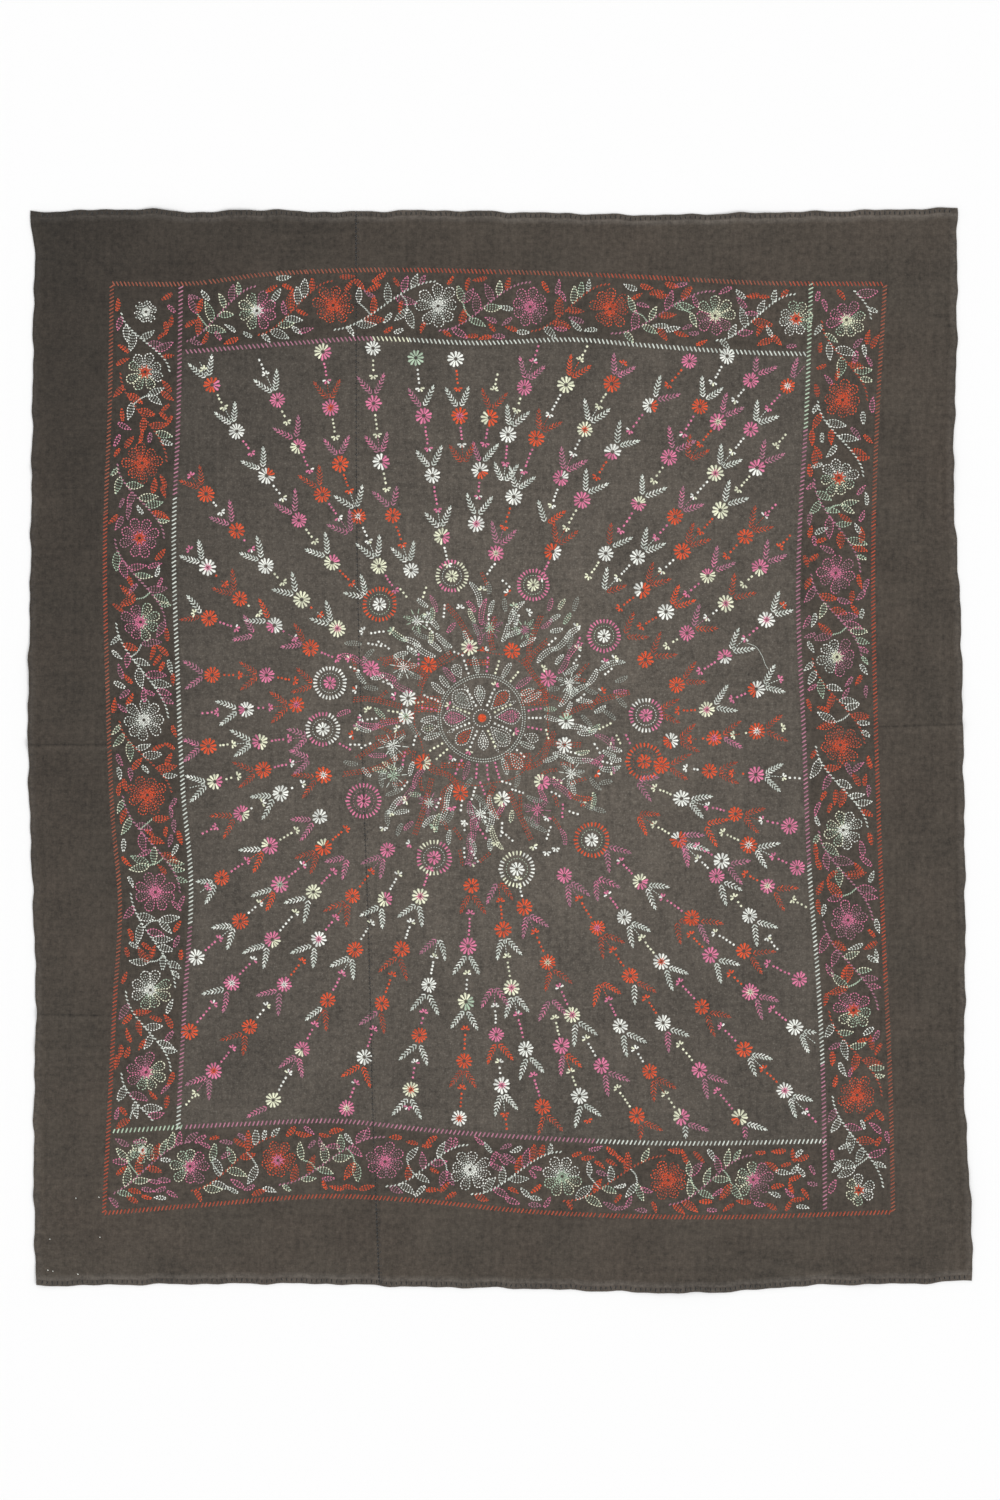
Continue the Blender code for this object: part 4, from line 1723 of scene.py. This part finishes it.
# Faces of a long and of a short stitch, as their own points: the first end, the left, top and right
# of each ring, and the last end
LONG_FACES = [
    (0, 2, 1),
    (0, 3, 2),
    (0, 1, 3),
    (1, 2, 5),
    (1, 5, 4),
    (2, 3, 6),
    (2, 6, 5),
    (3, 1, 4),
    (3, 4, 6),
    (7, 4, 5),
    (7, 5, 6),
    (7, 6, 4),
]
SHORT_FACES = [(0, 2, 1), (0, 3, 2), (0, 1, 3), (4, 1, 2), (4, 2, 3), (4, 3, 1)]


def stitch_points(rows, rings):
    """Points of many stitches at once: ends sunk in the cloth, rings that stand on it."""
    start, end = rows[:, 0:2], rows[:, 2:4]
    run = end - start
    along = run / np.maximum(np.linalg.norm(run, axis=1, keepdims=True), 1e-9)
    side = np.stack([-along[:, 1], along[:, 0]], axis=1)
    height = rows[:, 6]

    def on_cloth(place, above):
        return np.column_stack([place, cloth_top(place[:, 0], place[:, 1]) + above])

    points = [on_cloth(start, -SINK)]
    for share, width in rings:
        middle = start + run * share
        half = side * rows[:, width : width + 1] / 2
        points += [on_cloth(middle + half, 0.0), on_cloth(middle, height), on_cloth(middle - half, 0.0)]
    points.append(on_cloth(end, -SINK))
    return np.stack(points, axis=1)


def thread_piece(name, thread, material, short_rows, long_rows):
    """One mesh of all the stitches of one thread on one panel."""
    points, faces, tones = [], [], []
    count = 0
    kinds = ((short_rows, [(0.5, 4)], SHORT_FACES), (long_rows, [(0.2, 4), (0.8, 5)], LONG_FACES))
    for rows, rings, pattern in kinds:
        if len(rows) == 0:
            continue
        made = stitch_points(rows, rings)
        each = made.shape[1]
        starts = count + np.arange(len(rows)) * each
        faces.append((starts[:, None, None] + np.array(pattern)[None]).reshape(-1, 3))
        points.append(made.reshape(-1, 3))
        tones.append(np.repeat(rows[:, 7], each))
        count += len(rows) * each
    points, faces = np.concatenate(points), np.concatenate(faces)
    piece = new_piece(name, points, faces, material)
    piece.data.shade_smooth()
    point_attribute(piece.data, "tone", np.concatenate(tones))
    return piece


def thread_pieces(panel_name, on_panel):
    """The meshes of the stitches whose middle lies on one panel."""
    pieces = []
    for thread in THREADS:
        halves = []
        for rows in (short_stitches[thread], long_stitches[thread]):
            rows = np.array(rows).reshape(-1, 8)
            middle_x = (rows[:, 0] + rows[:, 2]) / 2
            middle_y = (rows[:, 1] + rows[:, 3]) / 2
            halves.append(rows[on_panel(middle_x, middle_y)])
        if len(halves[0]) + len(halves[1]):
            name = f"{panel_name}_{thread}_thread"
            pieces.append(thread_piece(name, thread, thread_materials[thread], *halves))
    return pieces


# The scene around the coverlet


def floor_and_light():
    """A plain near-white floor under soft, even light."""
    bpy.ops.mesh.primitive_plane_add(size=30, location=(0, 0, -0.3 * MM))
    floor = bpy.context.object
    floor.name = "floor"
    n = Nodes("floor")
    n.shader.inputs["Base Color"].default_value = (0.93, 0.93, 0.93, 1)
    n.shader.inputs["Roughness"].default_value = 0.9
    n.shader.inputs["Specular IOR Level"].default_value = 0.1
    floor.data.materials.append(n.material)
    world = bpy.data.worlds.new("studio")
    world.use_nodes = True
    world.node_tree.nodes["Background"].inputs["Color"].default_value = (1, 1, 1, 1)
    world.node_tree.nodes["Background"].inputs["Strength"].default_value = 0.76
    bpy.context.scene.world = world
    for name, place, softness, strength in (
        ("key", (2.6, -2.2, 2.4), 24, 1.25),
        ("fill", (-3.0, 2.6, 3.6), 60, 0.35),
    ):
        light = bpy.data.lights.new(name, "SUN")
        light.angle = softness * DEGREE
        light.energy = strength
        lamp = bpy.data.objects.new(name, light)
        lamp.location = place
        lamp.rotation_mode = "QUATERNION"
        lamp.rotation_quaternion = lamp.location.to_track_quat("Z", "Y")
        bpy.context.scene.collection.objects.link(lamp)


# The picture is 1000 by 1500 pixels, and one pixel is 2 millimetres of cloth
VIEW_HEIGHT = 3.0
LENS = 85
SENSOR = 36


def camera():
    """Straight above the middle, with the top of the coverlet up."""
    data = bpy.data.cameras.new("camera")
    data.lens = LENS
    data.sensor_width = SENSOR
    eye = bpy.data.objects.new("camera", data)
    eye.location = (CENTRING[0], CENTRING[1], VIEW_HEIGHT * LENS / SENSOR)
    bpy.context.scene.collection.objects.link(eye)
    bpy.context.scene.camera = eye
    bpy.context.scene.view_settings.view_transform = "Standard"


sew_everything()
cloth = cloth_material()
rows = row_lines()
left_columns = column_lines(left_edge, SIDE_HEM_WIDTH, shifted(seam, -SEAM_GAP / 2), SEAM_ALLOWANCE)
right_columns = column_lines(shifted(seam, SEAM_GAP / 2), SEAM_ALLOWANCE, right_edge, SIDE_HEM_WIDTH)
left_cloth = cloth_panel("left_cloth", left_columns, rows, cloth)
right_cloth = cloth_panel("right_cloth", right_columns, rows, cloth)
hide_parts("left_panel")
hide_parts("right_panel")

thread_materials = {thread: thread_material(f"{thread}_thread", THREADS[thread][0]) for thread in THREADS}
left_threads = thread_pieces("left", lambda x, y: x < seam(y))
right_threads = thread_pieces("right", lambda x, y: x >= seam(y))
floor_and_light()
camera()
